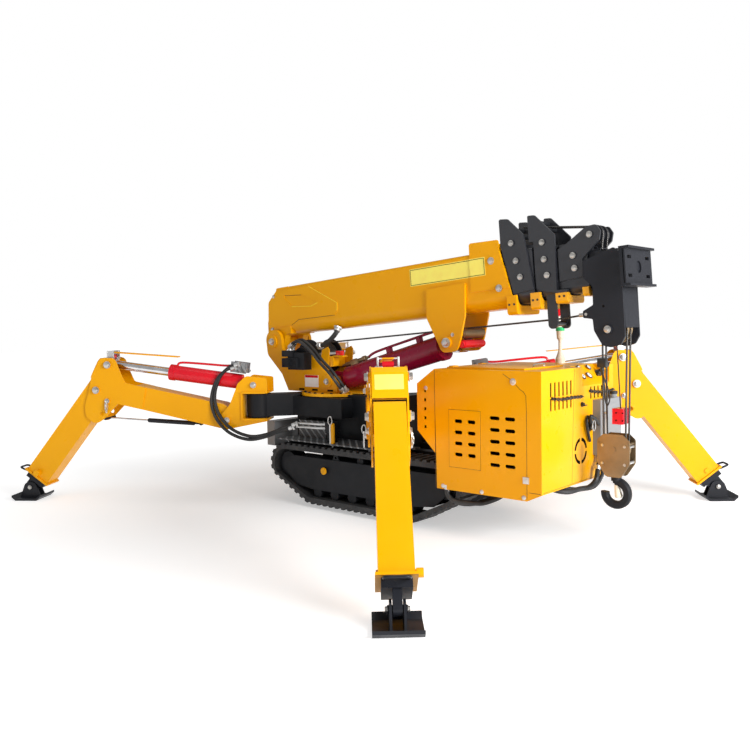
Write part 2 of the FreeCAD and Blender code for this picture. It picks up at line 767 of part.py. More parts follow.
def hydraulic_tank():
    """Oil tank hung on the left half of the end panel, with its filler neck."""
    x0 = CAB_X[1]
    x1 = x0 + TANK_DEPTH
    y1 = CAB_HALF - 4
    tank = box(x0, x1, y1 - TANK_WIDTH, y1, *TANK_Z)
    tank = tank.makeChamfer(8, [e for e in tank.Edges
                                if e.BoundBox.ZLength > 200 and e.BoundBox.XMin > x1 - 1])
    neck = rod_z((x0 + x1) / 2, y1 - 52, 20, TANK_Z[1], TANK_Z[1] + 18)
    return fuse([tank, neck])


def turned(x, y, profile):
    """Solid turned about an upright line, from its (radius, z) outline."""
    corners = [Vec(radius, 0, z) for radius, z in profile]
    face = Part.Face(Part.makePolygon(corners + corners[:1]))
    solid = face.revolve(Vec(0, 0, 0), Vec(0, 0, 1), 360)
    solid.translate(Vec(x, y, 0))
    return solid


def engine_block():
    block = box(980, 1400, -230, 230, FLOOR_Z + FLOOR_PLATE, 800)
    return block


def beacon():
    """Signal lamp: foot, stem, dome and its three coloured rings."""
    z = CAB_TOP
    return turned(*BEACON_AT, [
        (0, z), (28, z), (28, z + 24), (10.5, z + 74), (10.5, z + 129), (19, z + 144),
        (22.5, z + 186), (24.5, z + 186), (24.5, z + 207), (22.5, z + 209), (22.5, z + 269),
        (25, z + 271), (25, z + 314), (22.5, z + 316), (13, z + 326), (0, z + 326),
    ])


def chassis():
    frame = chassis_frame()
    parts = {
        "chassis_frame": frame,
        "outrigger_beams": outrigger_beams(frame),
        "cabinet_floor": cabinet_floor(frame),
        "deck_plates": deck(),
        "slew_ring": slew_ring(),
        "rear_guard": rear_guard(),
        "cabinet_sides": cabinet_sides(),
        "cabinet_top": cabinet_top(),
        "cabinet_end": cabinet_end(),
        "cabinet_rear": cabinet_rear(),
        "control_console": control_console(),
        "hydraulic_tank": hydraulic_tank(),
        "engine_block": engine_block(),
        "beacon": beacon(),
    }
    parts.update(undercarriage())
    return parts


# Turret

def pillar():
    """Two side plates on the slewing disc, tied by a web under the boom's heel."""
    x, z = BOOM_PIN
    low = DISC_Z[1]
    outline = [
        (x - 80, z + 80, 72), (x + 82, z + 80, 72), (-578, 985, 40), (-440, 930, 20),
        (-428, 992, 45), (-318, 992, 45), (-268, 930, 20), (-62, 759, 10), (-62, low),
        (-520, low), (-582, 820, 80), (-725, 950, 50),
    ]
    disc = rod_z(SLEW_X, 0, DISC_R, DISC_Z[0], DISC_Z[1])
    lip = box(SLEW_X + 100, SLEW_X + 300, -120, 120, DISC_Z[1], DISC_Z[1] + 10)
    sides = pair(outline, PLATE_IN, PLATE_OUT, [
        (x, z, BOOM_PIN_R + PIN_GAP),
        (LUFF_BASE[0], LUFF_BASE[1], LUFF_PIN_R + PIN_GAP),
        (WINCH_AT[0], WINCH_AT[1], WINCH_SHAFT_R + PIN_GAP),
    ])
    web = plate([(-566, 815), (-548, 820), (-500, low), (-519, low)], -PLATE_IN, PLATE_IN)
    spacer = rod_z(SLEW_X, 0, RING_R - 75, CHASSIS_Z[1] + 4, DISC_Z[0])
    return fuse(sides + [disc, lip, web, spacer])


def turret_pins():
    """Boom pin, luff cylinder pin and winch shaft, each with a head at both ends."""
    solids = []
    for (x, z), radius in ((BOOM_PIN, BOOM_PIN_R), (LUFF_BASE, LUFF_PIN_R),
                           (WINCH_AT, WINCH_SHAFT_R)):
        reach = PLATE_OUT + PIN_GAP
        solids.append(fuse([
            rod_y(x, z, radius, -reach - 9, reach + 9),
            rod_y(x, z, radius + 8, reach, reach + 9),
            rod_y(x, z, radius + 8, -reach - 9, -reach),
        ]))
    return Part.makeCompound(solids)


def winch_motor():
    """Gear housing and motor on the right-hand plate."""
    x, z = WINCH_AT
    near = -PLATE_OUT - PIN_GAP
    motor = fuse([
        rod_y(x, z, 62, near - 40, near),
        box(x - 62, x + 92, near - 98, near - 30, z - 82, z + 30),
        box(x - 100, x + 40, near - 118, near - 50, z - 66, z - 6),
        box(x - 108, x - 10, near - 110, near - 60, z + 4, z + 44),
    ])
    return cut(motor, [rod_y(x, z, WINCH_SHAFT_R + 10, near - 12, near + 1)])


def winch_drum():
    """Flanged drum with its layer of rope, on the shaft between the plates."""
    x, z = WINCH_AT
    drum = fuse([
        rod_y(x, z, DRUM_R, -DRUM_HALF, DRUM_HALF),
        rod_y(x, z, DRUM_FLANGE_R, -DRUM_HALF, -DRUM_HALF + 10),
        rod_y(x, z, DRUM_FLANGE_R, DRUM_HALF - 10, DRUM_HALF),
    ])
    return cut(drum, [rod_y(x, z, WINCH_SHAFT_R + PIN_GAP, -DRUM_HALF - 1, DRUM_HALF + 1)])


# Boom

def boom_tube(half, low, high, start, end, wall):
    """Box section with rounded lower corners, hollow from end to end."""
    def core(inset):
        top_r = max(16 - inset, 6)
        low_r = half * 0.62 - inset
        a, b = half - inset, low + inset
        c = high - inset
        return prism_x([(-a, c, top_r), (a, c, top_r), (a, b, low_r), (-a, b, low_r)],
                       start, end)

    return core(0).cut(core(wall))


def guide_pads(outer, inner, start, on_inner):
    """Blocks that fill the gap between two tubes, to a sliding fit."""
    _, outer_half, outer_low, outer_high, _, _, outer_wall = outer
    _, inner_half, inner_low, inner_high, _, _, _ = inner
    bite = 2.0
    side0, side1 = inner_half, outer_half - outer_wall
    top0, top1 = inner_high, outer_high - outer_wall
    low0, low1 = outer_low + outer_wall, inner_low
    if on_inner:
        side0, side1 = side0 - bite, side1 - PIN_GAP
        top0, top1 = top0 - bite, top1 - PIN_GAP
        low0, low1 = low0 + PIN_GAP, low1 + bite
    else:
        side0, side1 = side0 + PIN_GAP, side1 + bite
        top0, top1 = top0 + PIN_GAP, top1 + bite
        low0, low1 = low0 - bite, low1 - PIN_GAP
    end = start + PAD
    flat = inner_half * 0.3
    middle = (inner_low + inner_high) / 2
    return [
        box(start, end, side0, side1, middle, middle + 70),
        box(start, end, -side1, -side0, middle, middle + 70),
        box(start, end, -flat, flat, top0, top1),
        box(start, end, -flat, flat, low0, low1),
    ]


def front_collar(index):
    """Trough under the front end of a tube, open at the top, round the next tube."""
    name, start, end, bottom, over = COLLARS[index]
    half = SECTIONS[index][1]
    following = SECTIONS[index + 1]
    a = half + over
    b = following[1] + RUN_GAP
    floor = following[2] - RUN_GAP
    outer = prism_x([(-a, COLLAR_TOP), (a, COLLAR_TOP), (a, bottom, 20), (-a, bottom, 20)],
                    start, end)
    room = prism_x([(-b, COLLAR_TOP + 1), (b, COLLAR_TOP + 1), (b, floor, b * 0.45),
                    (-b, floor, b * 0.45)], start - 1, end + 1)
    return outer.cut(room)


def side_plates(outline, half, thickness, bolts, radius):
    """Bracket plates on both sides of a tube, with through bolts and their heads."""
    solids = pair(outline, half, half + thickness)
    for s, t in bolts:
        reach = half + thickness + 7
        solids.append(rod_y(s, t, radius, half + thickness - 1, reach))
        solids.append(rod_y(s, t, radius, -reach, -half - thickness + 1))
    return solids


# section, outline of its front bracket, bolts
BRACKETS = {
    "second": (
        [(1858, 524, 10), (1911, 517, 12), (1998, 425, 20), (2004, 400, 20), (2043, 127),
         (1919, 115), (1858, 377)],
        [(1928, 385), (1950, 288), (1970, 200)],
    ),
    "third": (
        [(2024, 516, 8), (2065, 512, 12), (2175, 394, 15), (2166, 93), (2050, 128), (2050, 376),
         (2024, 376)],
        [(2104, 364), (2109, 275), (2120, 191)],
    ),
    "fourth": (
        [(2180, 151), (2180, 316), (2216, 330), (2346, 409, 20), (2398, 410, 15),
         (2419, 375, 15), (2409, 332, 15), (2313, 251, 10), (2310, 161)],
        [(2265, 273), (2270, 208)],
    ),
}


def boom_base():
    """Base section: heel round the boom pin, tube, end collar and cylinder bracket."""
    base = SECTIONS[0]
    _, half, low, high, start, end, wall = base
    heel = [
        (-75, 136, 20), (40, high, 12), (start + 5, high), (start + 5, low), (96, low, 30),
        (60, -70, 60), (-84, -70, 60),
    ]
    doubler = [
        (-70, 99, 20), (-50, 276, 30), (36, 345, 12), (357, 345), (617, 206, 10),
        (611, 155, 10), (580, 131), (240, 133), (166, 101),
    ]
    recess = [(98, 309, 10), (283, 295, 10), (442, 229, 10), (373, 211, 10), (180, 226, 10)]
    pocket = box(30, start + 10, -half + wall, half - wall, low + 30, high - wall)
    slot = box(-100, 100, -58, 58, -90, low + 20)
    collar = [
        (1651, low + 110), (1660, 424, 14), (1852, 416, 14), (1852, 377), (end, low + 110),
    ]
    bracket = [
        (1349, 205, 12), (1621, 212, 12), (1606, 31, 25), (1567, -92, 30), (1532, -168, 45),
        (1428, -168, 45), (1400, -100, 30), (1336, 38, 30),
    ]
    beyond_end = [(1847, 377), (end, 115), (end + 60, 115), (end + 60, 377)]
    eye = LUFF_EYE_HALF + 7
    solid = fuse([
        cut(plate(heel, -half, half), [pocket, slot]),
        boom_tube(*base[1:]),
        *pair(collar, half, half + 6),
        box(1662, 1852, -half, half, high - 1, high + 30),
        *pair(bracket, half, half + 14),
        rod_y(*LUFF_EYE, LUFF_PIN_R, eye, half + 24),
        rod_y(*LUFF_EYE, LUFF_PIN_R, -half - 24, -eye),
        *guide_pads(base, SECTIONS[1], end - PAD, False),
        front_collar(0),
    ])
    solid = solid.cut([plate(beyond_end, -half - 30, half + 30)])
    plates = [side.cut(plate(recess, -half - 30, half + 30))
              for side in pair(doubler, half, half + DOUBLER)]
    return cut(fuse([solid] + plates),
               [rod_y(0, 0, BOOM_PIN_R + PIN_GAP, -half - DOUBLER - 1, half + DOUBLER + 1)])


def boom_section(index):
    """One telescopic section with its rear guides, front guides and front bracket."""
    here = SECTIONS[index]
    name, half, low, high, start, end, wall = here
    solids = [boom_tube(*here[1:])]
    solids += guide_pads(SECTIONS[index - 1], here, start, True)
    if index + 1 < len(SECTIONS):
        solids += guide_pads(here, SECTIONS[index + 1], end - PAD, False)
    if name in BRACKETS:
        outline, bolts = BRACKETS[name]
        solids += side_plates(outline, half, 12, bolts, 15)
        solids.append(front_collar(index))
        first = SECTIONS[index - 1][5] + 12
        solids.append(box(first, end - 40, -half, half, high - 1, high + 22))
    if name == "third":
        hanger = [(2095, 98), (2150, 98), (2150, -88, 24), (2095, -88, 24)]
        solids += pair(hanger, 62, 72)
        solids.append(rod_y(2122, -62, 14, -72, 72))
    if name == "fourth":
        solids += top_sheaves()
    return solids


def top_sheaves():
    """Two rope sheaves on one pin between the fourth section's plates."""
    s, t = TOP_SHEAVE
    half = 65.0
    solids = [rod_y(s, t, 14, -half - 18, half + 18)]
    for y in (-26, 26):
        solids.append(sheave(s, y, t, TOP_SHEAVE_R, 10))
    return solids


def boom_head():
    """Head section: side plates, front plate, sheave pin and the mounting channel."""
    _, low, high = SECTIONS[4][1:4]
    s, t = HEAD_SHEAVE
    outline = [
        (2319, 236, 8), (2319, 150, 8), (2364, 103, 15), (2360, 12, 10), (2303, -14, 8),
        (2303, -48, 8), (2353, -58, 8), (2356, -116, 20), (2397, -196, 40), (2443, -206, 30),
        (2492, -196, 25), (2516, -157, 20), (2519, 78), (2528, 244, 10), (2485, 282, 10),
    ]
    collar_start = 2 * SHEAVE_HALF + 9.5
    return fuse(boom_section(4) + pair(outline, HEAD_IN, HEAD_OUT, [(2321, -31, 8)]) + [
        box(2385, 2500, -HEAD_IN, HEAD_IN, low + 10, high - 20),
        box(2509, 2518, -HEAD_IN, HEAD_IN, -115, 90),
        box(2495, CHANNEL_S[0] + 22, -60, 60, 110, 240),
        rod_y(s, t, 22, -HEAD_OUT - 10, HEAD_OUT + 10),
        rod_y(s, t, 34, collar_start, HEAD_IN),
        rod_y(s, t, 34, -HEAD_IN, -collar_start),
        mounting_channel(),
    ])


def mounting_channel():
    """Channel across the front of the head, with a hole and four slots for attachments."""
    (s0, s1), (t0, t1) = CHANNEL_S, CHANNEL_T
    half, thick = CHANNEL_HALF, CHANNEL_PLATE
    web_s = s0 + 18
    middle = (t0 + t1) / 2
    channel = fuse([
        box(web_s, web_s + thick, -half, half, t0, t1),
        box(s0, s1, -half, half, t1 - thick, t1),
        box(s0, s1, -half, half, t0, t0 + thick),
    ])
    holes = [rod_x(0, middle, 30, web_s + 2, web_s + thick + 1)]
    for y in (-105, 105):
        for t in (middle - 45, middle + 45):
            holes.append(box(web_s - 1, web_s + thick + 1, y - 22, y + 22, t - 8, t + 8))
    return cut(channel, holes)


def sheave(x, y, z, radius, bore_r):
    """Rope wheel about Y with a V groove, as a revolved section."""
    half, floor = SHEAVE_HALF, radius - GROOVE
    section = Part.makePolygon([
        Vec(bore_r, -half, 0), Vec(radius, -half, 0), Vec(floor, -3, 0), Vec(floor, 3, 0),
        Vec(radius, half, 0), Vec(bore_r, half, 0), Vec(bore_r, -half, 0),
    ])
    wheel = Part.Face(section).revolve(Vec(0, 0, 0), Vec(0, 1, 0), 360)
    wheel.translate(Vec(x, y, z))
    return wheel


def head_sheaves():
    s, t = HEAD_SHEAVE
    return Part.makeCompound([sheave(s, y, t, HEAD_SHEAVE_R, 22 + PIN_GAP)
                              for y in (-FALL_Y, FALL_Y)])


def boom():
    luff_eye_row = on_boom(*LUFF_EYE)
    length, rise = bearing(LUFF_BASE, luff_eye_row)
    barrel, rod = cylinder_pair(
        length, (80, 872), 150, (LUFF_BARREL_R, LUFF_ROD_R), (62, LUFF_EYE_HALF), LUFF_PIN_R)
    parts = {"boom_base": boom_base()}
    for index in (1, 2, 3):
        parts["boom_" + SECTIONS[index][0]] = fuse(boom_section(index))
    parts["boom_head"] = boom_head()
    parts["head_sheaves"] = head_sheaves()
    parts = {name: placed(solid, BOOM_PIN, LUFF_DEG) for name, solid in parts.items()}
    parts["luff_barrel"] = placed(barrel, LUFF_BASE, rise)
    parts["luff_rod"] = placed(rod, LUFF_BASE, rise)
    return parts


def on_boom(s, t):
    """Row place (x, z) of a point in the boom's own plane."""
    angle = math.radians(LUFF_DEG)
    return (BOOM_PIN[0] + s * math.cos(angle) - t * math.sin(angle),
            BOOM_PIN[1] + s * math.sin(angle) + t * math.cos(angle))


def turret():
    return {
        "pillar": pillar(),
        "turret_pins": turret_pins(),
        "winch_motor": winch_motor(),
        "winch_drum": winch_drum(),
    }


# Hook

def hoist_falls():
    """Four rope falls from the head sheaves to the block's sheaves."""
    x, z = on_boom(*HEAD_SHEAVE)
    reach = ROPE_R + PIN_GAP - GROOVE
    falls = []
    for y in (-FALL_Y, FALL_Y):
        for side in (-1, 1):
            top = Vec(x + side * (HEAD_SHEAVE_R + reach), y, z - 3)
            low = Vec(x + side * (BLOCK_SHEAVE_R + reach), y, BLOCK_TOP - AXLE_DOWN + 3)
            falls.append(Part.makeCylinder(ROPE_R, top.distanceToPoint(low), low, top - low))
    return Part.makeCompound(falls)


def hook_block():
    """Two cheek plates with sheaves, spacers and the hook's cross head."""
    x = on_boom(*HEAD_SHEAVE)[0]
    half = BLOCK_HALF_X
    top, low = BLOCK_TOP, BLOCK_BOTTOM
    cheek = [
        (x - half, top - 30, 20), (x - half * 0.6, top, 20), (x + half * 0.6, top, 20),
        (x + half, top - 30, 20), (x + half, low + 70, 30), (x + half * 0.45, low, 20),
        (x - half * 0.45, low, 20), (x - half, low + 70, 30),
    ]
    axle_z = top - AXLE_DOWN
    outer = CHEEK_IN + CHEEK
    solids = pair(cheek, CHEEK_IN, outer)
    solids.append(rod_y(x, axle_z, 14, -outer - 3, outer + 3))
    for dx, z in ((-76, top - 46), (76, top - 46), (-54, low + 58), (54, low + 58)):
        solids.append(rod_y(x + dx, z, 6, -outer - 3, outer + 3))
    for y in (-FALL_Y, FALL_Y):
        solids.append(sheave(x, y, axle_z, BLOCK_SHEAVE_R, 10))
    solids.append(box(x - 34, x + 34, -CHEEK_IN, CHEEK_IN, low + 6, low + 34))
    bore = rod_z(x, 0, SHANK_R + PIN_GAP, low, low + 40)
    return cut(fuse(solids), [bore])


def hook():
    """Forged hook on its shank, with the nut above the cross head."""
    x = on_boom(*HEAD_SHEAVE)[0]
    z = HOOK_MIDDLE_Z
    inner, outer = HOOK_R
    half, c = HOOK_HALF, HOOK_CHAMFER
    section = Part.makePolygon([
        Vec(inner, -half + c, 0), Vec(inner + c, -half, 0), Vec(outer - c, -half, 0),
        Vec(outer, -half + c, 0), Vec(outer, half - c, 0), Vec(outer - c, half, 0),
        Vec(inner + c, half, 0), Vec(inner, half - c, 0), Vec(inner, -half + c, 0),
    ])
    ring = Part.Face(section).revolve(Vec(0, 0, 0), Vec(0, 1, 0), 360)
    ring.translate(Vec(x, 0, z))
    gap = plate([(x, z), (x - 110, z + 6), (x - 110, z + 110), (x - 8, z + 110)], -30, 30)
    under = BLOCK_BOTTOM + 6 - PIN_GAP
    over = BLOCK_BOTTOM + 34 + PIN_GAP
    return fuse([
        ring.cut(gap),
        rod_z(x, 0, SHANK_R, z + inner + 12, over + 12),
        rod_z(x, 0, SHANK_R + 8, over, over + 15),
        rod_z(x, 0, SHANK_R + 8, z + outer - 16, under),
    ])


def limit_weight():
    """Red hoist limit weight, hung by its wire from a ring on the head's pin."""
    x, z = on_boom(*HEAD_SHEAVE)
    z0, z1 = WEIGHT_Z
    middle = (WEIGHT_X[0] + WEIGHT_X[1]) / 2
    weight = box(x + WEIGHT_X[0], x + WEIGHT_X[1], -WEIGHT_HALF, WEIGHT_HALF, z0, z1)
    ring = cut(rod_y(x, z, 29, -5, 5), [rod_y(x, z, 22 + PIN_GAP, -6, 6)])
    top = Vec(x, 0, z - 26)
    low = Vec(x + middle, 0, z1 - 2)
    wire = Part.makeCylinder(3, top.distanceToPoint(low), low, top - low)
    return fuse([weight, ring, wire])


def load_gear():
    return {
        "hoist_falls": hoist_falls(),
        "hook_block": hook_block(),
        "hook": hook(),
        "limit_weight": limit_weight(),
    }


def main():
    os.makedirs("parts", exist_ok=True)
    parts = {}
    for group in (chassis, turret, boom, load_gear, outriggers):
        parts.update(group())
    for name, shape in parts.items():
        shape.exportStep(f"parts/{name}.step")


main()
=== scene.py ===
"""Looks of the tracked spider crane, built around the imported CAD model. Metres."""

import math
from contextlib import contextmanager

import bmesh
import bpy
from mathutils import Matrix, Vector


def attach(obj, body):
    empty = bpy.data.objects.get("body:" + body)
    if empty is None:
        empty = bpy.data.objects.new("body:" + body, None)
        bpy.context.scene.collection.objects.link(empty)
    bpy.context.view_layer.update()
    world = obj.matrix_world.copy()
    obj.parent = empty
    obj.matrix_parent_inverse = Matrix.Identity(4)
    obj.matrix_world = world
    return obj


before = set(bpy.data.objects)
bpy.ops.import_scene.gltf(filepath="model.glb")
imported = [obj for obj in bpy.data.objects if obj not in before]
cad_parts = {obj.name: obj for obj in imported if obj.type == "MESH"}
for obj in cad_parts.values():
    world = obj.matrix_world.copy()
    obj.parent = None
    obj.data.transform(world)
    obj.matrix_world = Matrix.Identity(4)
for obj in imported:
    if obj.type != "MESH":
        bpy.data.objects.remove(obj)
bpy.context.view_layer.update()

# Camera, fitted to the photograph: place in metres, angles in degrees
CAMERA_AT = Vector((3.5107, -3.7929, 1.1416))
CAMERA_YAW = 41.6
CAMERA_PITCH = -3.6
CAMERA_ROLL = -1.1
CAMERA_LENS = 38.16
SENSOR = 36.0

# Places shared with the model's own sizes, in metres
PIVOT = (0.546, 0.386)  # of the legs, as x, y
# Each leg's end and side of the machine, and its angle from the long axis in degrees
LEGS = {
    "front_right": (1, -1, 47.6),
    "front_left": (1, 1, 38.5),
    "rear_left": (-1, 1, 47.6),
    "rear_right": (-1, -1, 35.5),
}
# Pins of a leg as u, z
BASE_PIN = (0.009, 0.768)
ARM_PIN = (0.192, 0.539)
ROD_PIN = (0.996, 0.912)
KNEE_PIN = (1.081, 0.745)
LOCK_PIN = (1.006, 0.672)
FOOT_PIN = (1.605, 0.080)
KNEE_OUT = 0.083
BRACKET_OUT = 0.093
FOOT_OUT = 0.038
COLLAR_END = 0.745
BOOM_PIN = (-0.667, 1.040)  # x, z
LUFF = math.radians(4.1)
LUFF_BASE = (-0.144, 0.781)  # x, z
LUFF_EYE = (1.471, -0.112)  # s, t of the boom
HEAD_SHEAVE = (2.433, -0.116)  # s, t
CAB_SIDE = 0.396
CAB_END = 1.567
CAB_TOP = 0.901
CONSOLE_Y = 0.026  # of its inner end
CONSOLE_SIZE = 0.100
TANK_OUT = 1.620
PILLAR_OUT = 0.143
WINCH = (-0.350, 0.940)  # x, z
WINCH_ROPE_R = 0.0845
ROPE_Y, ROPE_T = -0.055, -0.040  # of the hoist rope under the boom
FALLS_X = 1.768


# Frames of reference

AHEAD = Vector((1, 0, 0))
LEFT = Vector((0, 1, 0))
UP = Vector((0, 0, 1))
SIDES = ((-1, -LEFT), (1, LEFT))
BOOM_ALONG = Vector((math.cos(LUFF), 0, math.sin(LUFF)))
BOOM_UP = Vector((-math.sin(LUFF), 0, math.cos(LUFF)))


def on_boom(s, y, t):
    """Point of the boom from its place along and square to the boom."""
    return Vector((BOOM_PIN[0], y, BOOM_PIN[1])) + BOOM_ALONG * s + BOOM_UP * t


class Leg:
    """One outrigger with its own axes: u outwards from its pivot, w across, z up."""

    def __init__(self, name):
        end, side, angle = LEGS[name]
        heading = math.radians(side * angle if end > 0 else side * (180 - angle))
        self.name = name
        self.pivot = Vector((end * PIVOT[0], side * PIVOT[1], 0))
        self.out = Vector((math.cos(heading), math.sin(heading), 0))
        self.across = Vector((-math.sin(heading), math.cos(heading), 0))
        self.axes = (self.out, self.across, UP)

    def at(self, u, w, z):
        return self.pivot + self.out * u + self.across * w + UP * z

    def piece(self, name, look, body):
        return piece(f"{name}_{self.name}", look, f"{body}_{self.name}")

    def block(self, bm, place, size, bevel=0.0):
        add_block(bm, self.at(*place), size, self.axes, bevel)


# Mesh tools

def across_of(direction):
    """Two unit vectors square to a direction."""
    direction = direction.normalized()
    helper = UP if abs(direction.z) < 0.9 else LEFT
    side = direction.cross(helper).normalized()
    return side, direction.cross(side).normalized()


def add_ring(bm, centre, side, up, radius, count):
    turns = [i * math.tau / count for i in range(count)]
    return [bm.verts.new(centre + side * (radius * math.cos(turn))
                         + up * (radius * math.sin(turn))) for turn in turns]


def bridge(bm, first, second):
    count = len(first)
    for i in range(count):
        j = (i + 1) % count
        bm.faces.new((first[i], first[j], second[j], second[i]))


def add_lofted(bm, rings):
    """Closed solid through rings of equal count."""
    for first, second in zip(rings, rings[1:]):
        bridge(bm, first, second)
    bm.faces.new(rings[0])
    bm.faces.new(rings[-1])


def add_turned(bm, start, direction, profile, count=24):
    """Turned solid along a direction from a list of (distance, radius)."""
    start, direction = Vector(start), Vector(direction).normalized()
    side, up = across_of(direction)
    add_lofted(bm, [add_ring(bm, start + direction * at, side, up, radius, count)
                    for at, radius in profile])


def add_rod(bm, start, end, radius, count=20):
    line = Vector(end) - Vector(start)
    add_turned(bm, start, line, [(0, radius), (line.length, radius)], count)


def add_block(bm, centre, size, axes=(AHEAD, LEFT, UP), bevel=0.0):
    """Box with chamfered edges, its axes given as unit vectors."""
    verts = bmesh.ops.create_cube(bm, size=1.0)["verts"]
    for v in verts:
        local = v.co.copy()
        v.co = Vector(centre) + sum((axes[i] * (local[i] * size[i]) for i in range(3)), Vector())
    if bevel:
        edges = list({e for v in verts for e in v.link_edges})
        bmesh.ops.bevel(bm, geom=edges, offset=bevel, segments=2, affect="EDGES", profile=0.7)


def add_bolt(bm, at, direction, size):
    """Washer and hexagon head."""
    at, direction = Vector(at), Vector(direction).normalized()
    add_turned(bm, at, direction, [(0, size * 1.25), (size * 0.22, size * 1.25)], 20)
    add_turned(bm, at, direction,
               [(size * 0.22, size), (size * 0.8, size), (size * 0.9, size * 0.82)], 6)


def smooth_path(points, steps):
    """Points along a Catmull-Rom line through given points."""
    points = [Vector(p) for p in points]
    padded = [points[0] * 2 - points[1]] + points + [points[-1] * 2 - points[-2]]
    out = []
    for i in range(1, len(padded) - 2):
        a, b, c, d = padded[i - 1:i + 3]
        for k in range(steps):
            t = k / steps
            out.append(0.5 * ((2 * b) + (c - a) * t + (2 * a - 5 * b + 4 * c - d) * t * t
                              + (3 * b - a - 3 * c + d) * t * t * t))
    out.append(points[-1])
    return out


def add_tube(bm, points, radius, count=12, steps=6):
    """Tube along a smooth line; gives the line and its tangents."""
    path = smooth_path(points, steps)
    tangents = [(path[min(i + 1, len(path) - 1)] - path[max(i - 1, 0)]).normalized()
                for i in range(len(path))]
    side, _ = across_of(tangents[0])
    rings = []
    for place, tangent in zip(path, tangents):
        side = (side - tangent * side.dot(tangent)).normalized()
        rings.append(add_ring(bm, place, side, tangent.cross(side), radius, count))
    add_lofted(bm, rings)
    return path, tangents


def add_strip(bm, points, normal, width, lift):
    """Flat bars end to end along straight lines between points on a surface."""
    points = [Vector(p) for p in points]
    for start, end in zip(points, points[1:]):
        along = (end - start).normalized()
        add_block(bm, (start + end) / 2 + normal * lift / 2,
                  ((end - start).length + width, width, lift),
                  (along, normal.cross(along), normal))


def add_link(bm, at, along, across, length, width, wire):
    """One chain link: a closed loop of round wire."""
    normal = along.cross(across)
    at, rings = Vector(at), []
    for i in range(16):
        cos, sin = math.cos(i * math.tau / 16), math.sin(i * math.tau / 16)
        place = at + along * (length / 2 * cos) + across * (width / 2 * sin)
        rings.append(add_ring(bm, place, along * cos + across * sin, normal, wire, 8))
    for i, ring in enumerate(rings):
        bridge(bm, rings[i - 1], ring)


def add_chain(bm, points, pitch=0.017):
    """Chain along a smooth line, every second link turned by a quarter."""
    path = smooth_path(points, 24)
    travelled, count = 0.0, 0
    for start, end in zip(path, path[1:]):
        step = (end - start).length
        along = (end - start).normalized()
        while travelled + step > count * pitch:
            share = (count * pitch - travelled) / step
            across = across_of(along)[1 - count % 2]
            add_link(bm, start.lerp(end, max(share, 0)), along, across, pitch * 1.5,
                     pitch * 0.8, 0.0026)
            count += 1
        travelled += step


def add_hose_end(bm, at, direction, length, radius):
    """Hexagon nut, swaged sleeve and its collar."""
    nut = radius * 1.75
    add_turned(bm, at, direction, [(0, nut), (length * 0.3, nut)], 6)
    add_turned(bm, at + direction * length * 0.3, direction, [
        (0, radius), (length * 0.08, radius), (length * 0.12, radius * 1.35),
        (length * 0.66, radius * 1.35), (length * 0.7, radius * 1.15)], 18)


def new_object(name, bm, material):
    bmesh.ops.recalc_face_normals(bm, faces=bm.faces)
    mesh = bpy.data.meshes.new(name)
    bm.to_mesh(mesh)
    bm.free()
    mesh.materials.append(material)
    obj = bpy.data.objects.new(name, mesh)
    bpy.context.collection.objects.link(obj)
    return obj


@contextmanager
def piece(name, look, body, slot=None, angle=35):
    """Mesh to fill in a with block, which then becomes a piece that rides on a body."""
    bm = bmesh.new()
    yield bm
    obj = new_object(name, bm, MAT[look])
    mesh = obj.data
    mesh.polygons.foreach_set("use_smooth", [True] * len(mesh.polygons))
    mesh.set_sharp_from_angle(angle=math.radians(angle))
    slot = slot or SLOTS[look]
    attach(obj, body)


# Materials

def feed(tree, made, inputs):
    """Set the inputs of a node, or link those that are given as an output of another."""
    for key, value in inputs.items():
        socket = made.inputs[key]
        if isinstance(value, bpy.types.NodeSocket):
            tree.links.new(value, socket)
        elif socket.type == "RGBA":
            socket.default_value = (*value, 1)
        else:
            socket.default_value = value


def node(tree, kind, inputs=None, **settings):
    made = tree.nodes.new(kind)
    for key, value in settings.items():
        setattr(made, key, value)
    feed(tree, made, inputs or {})
    return made


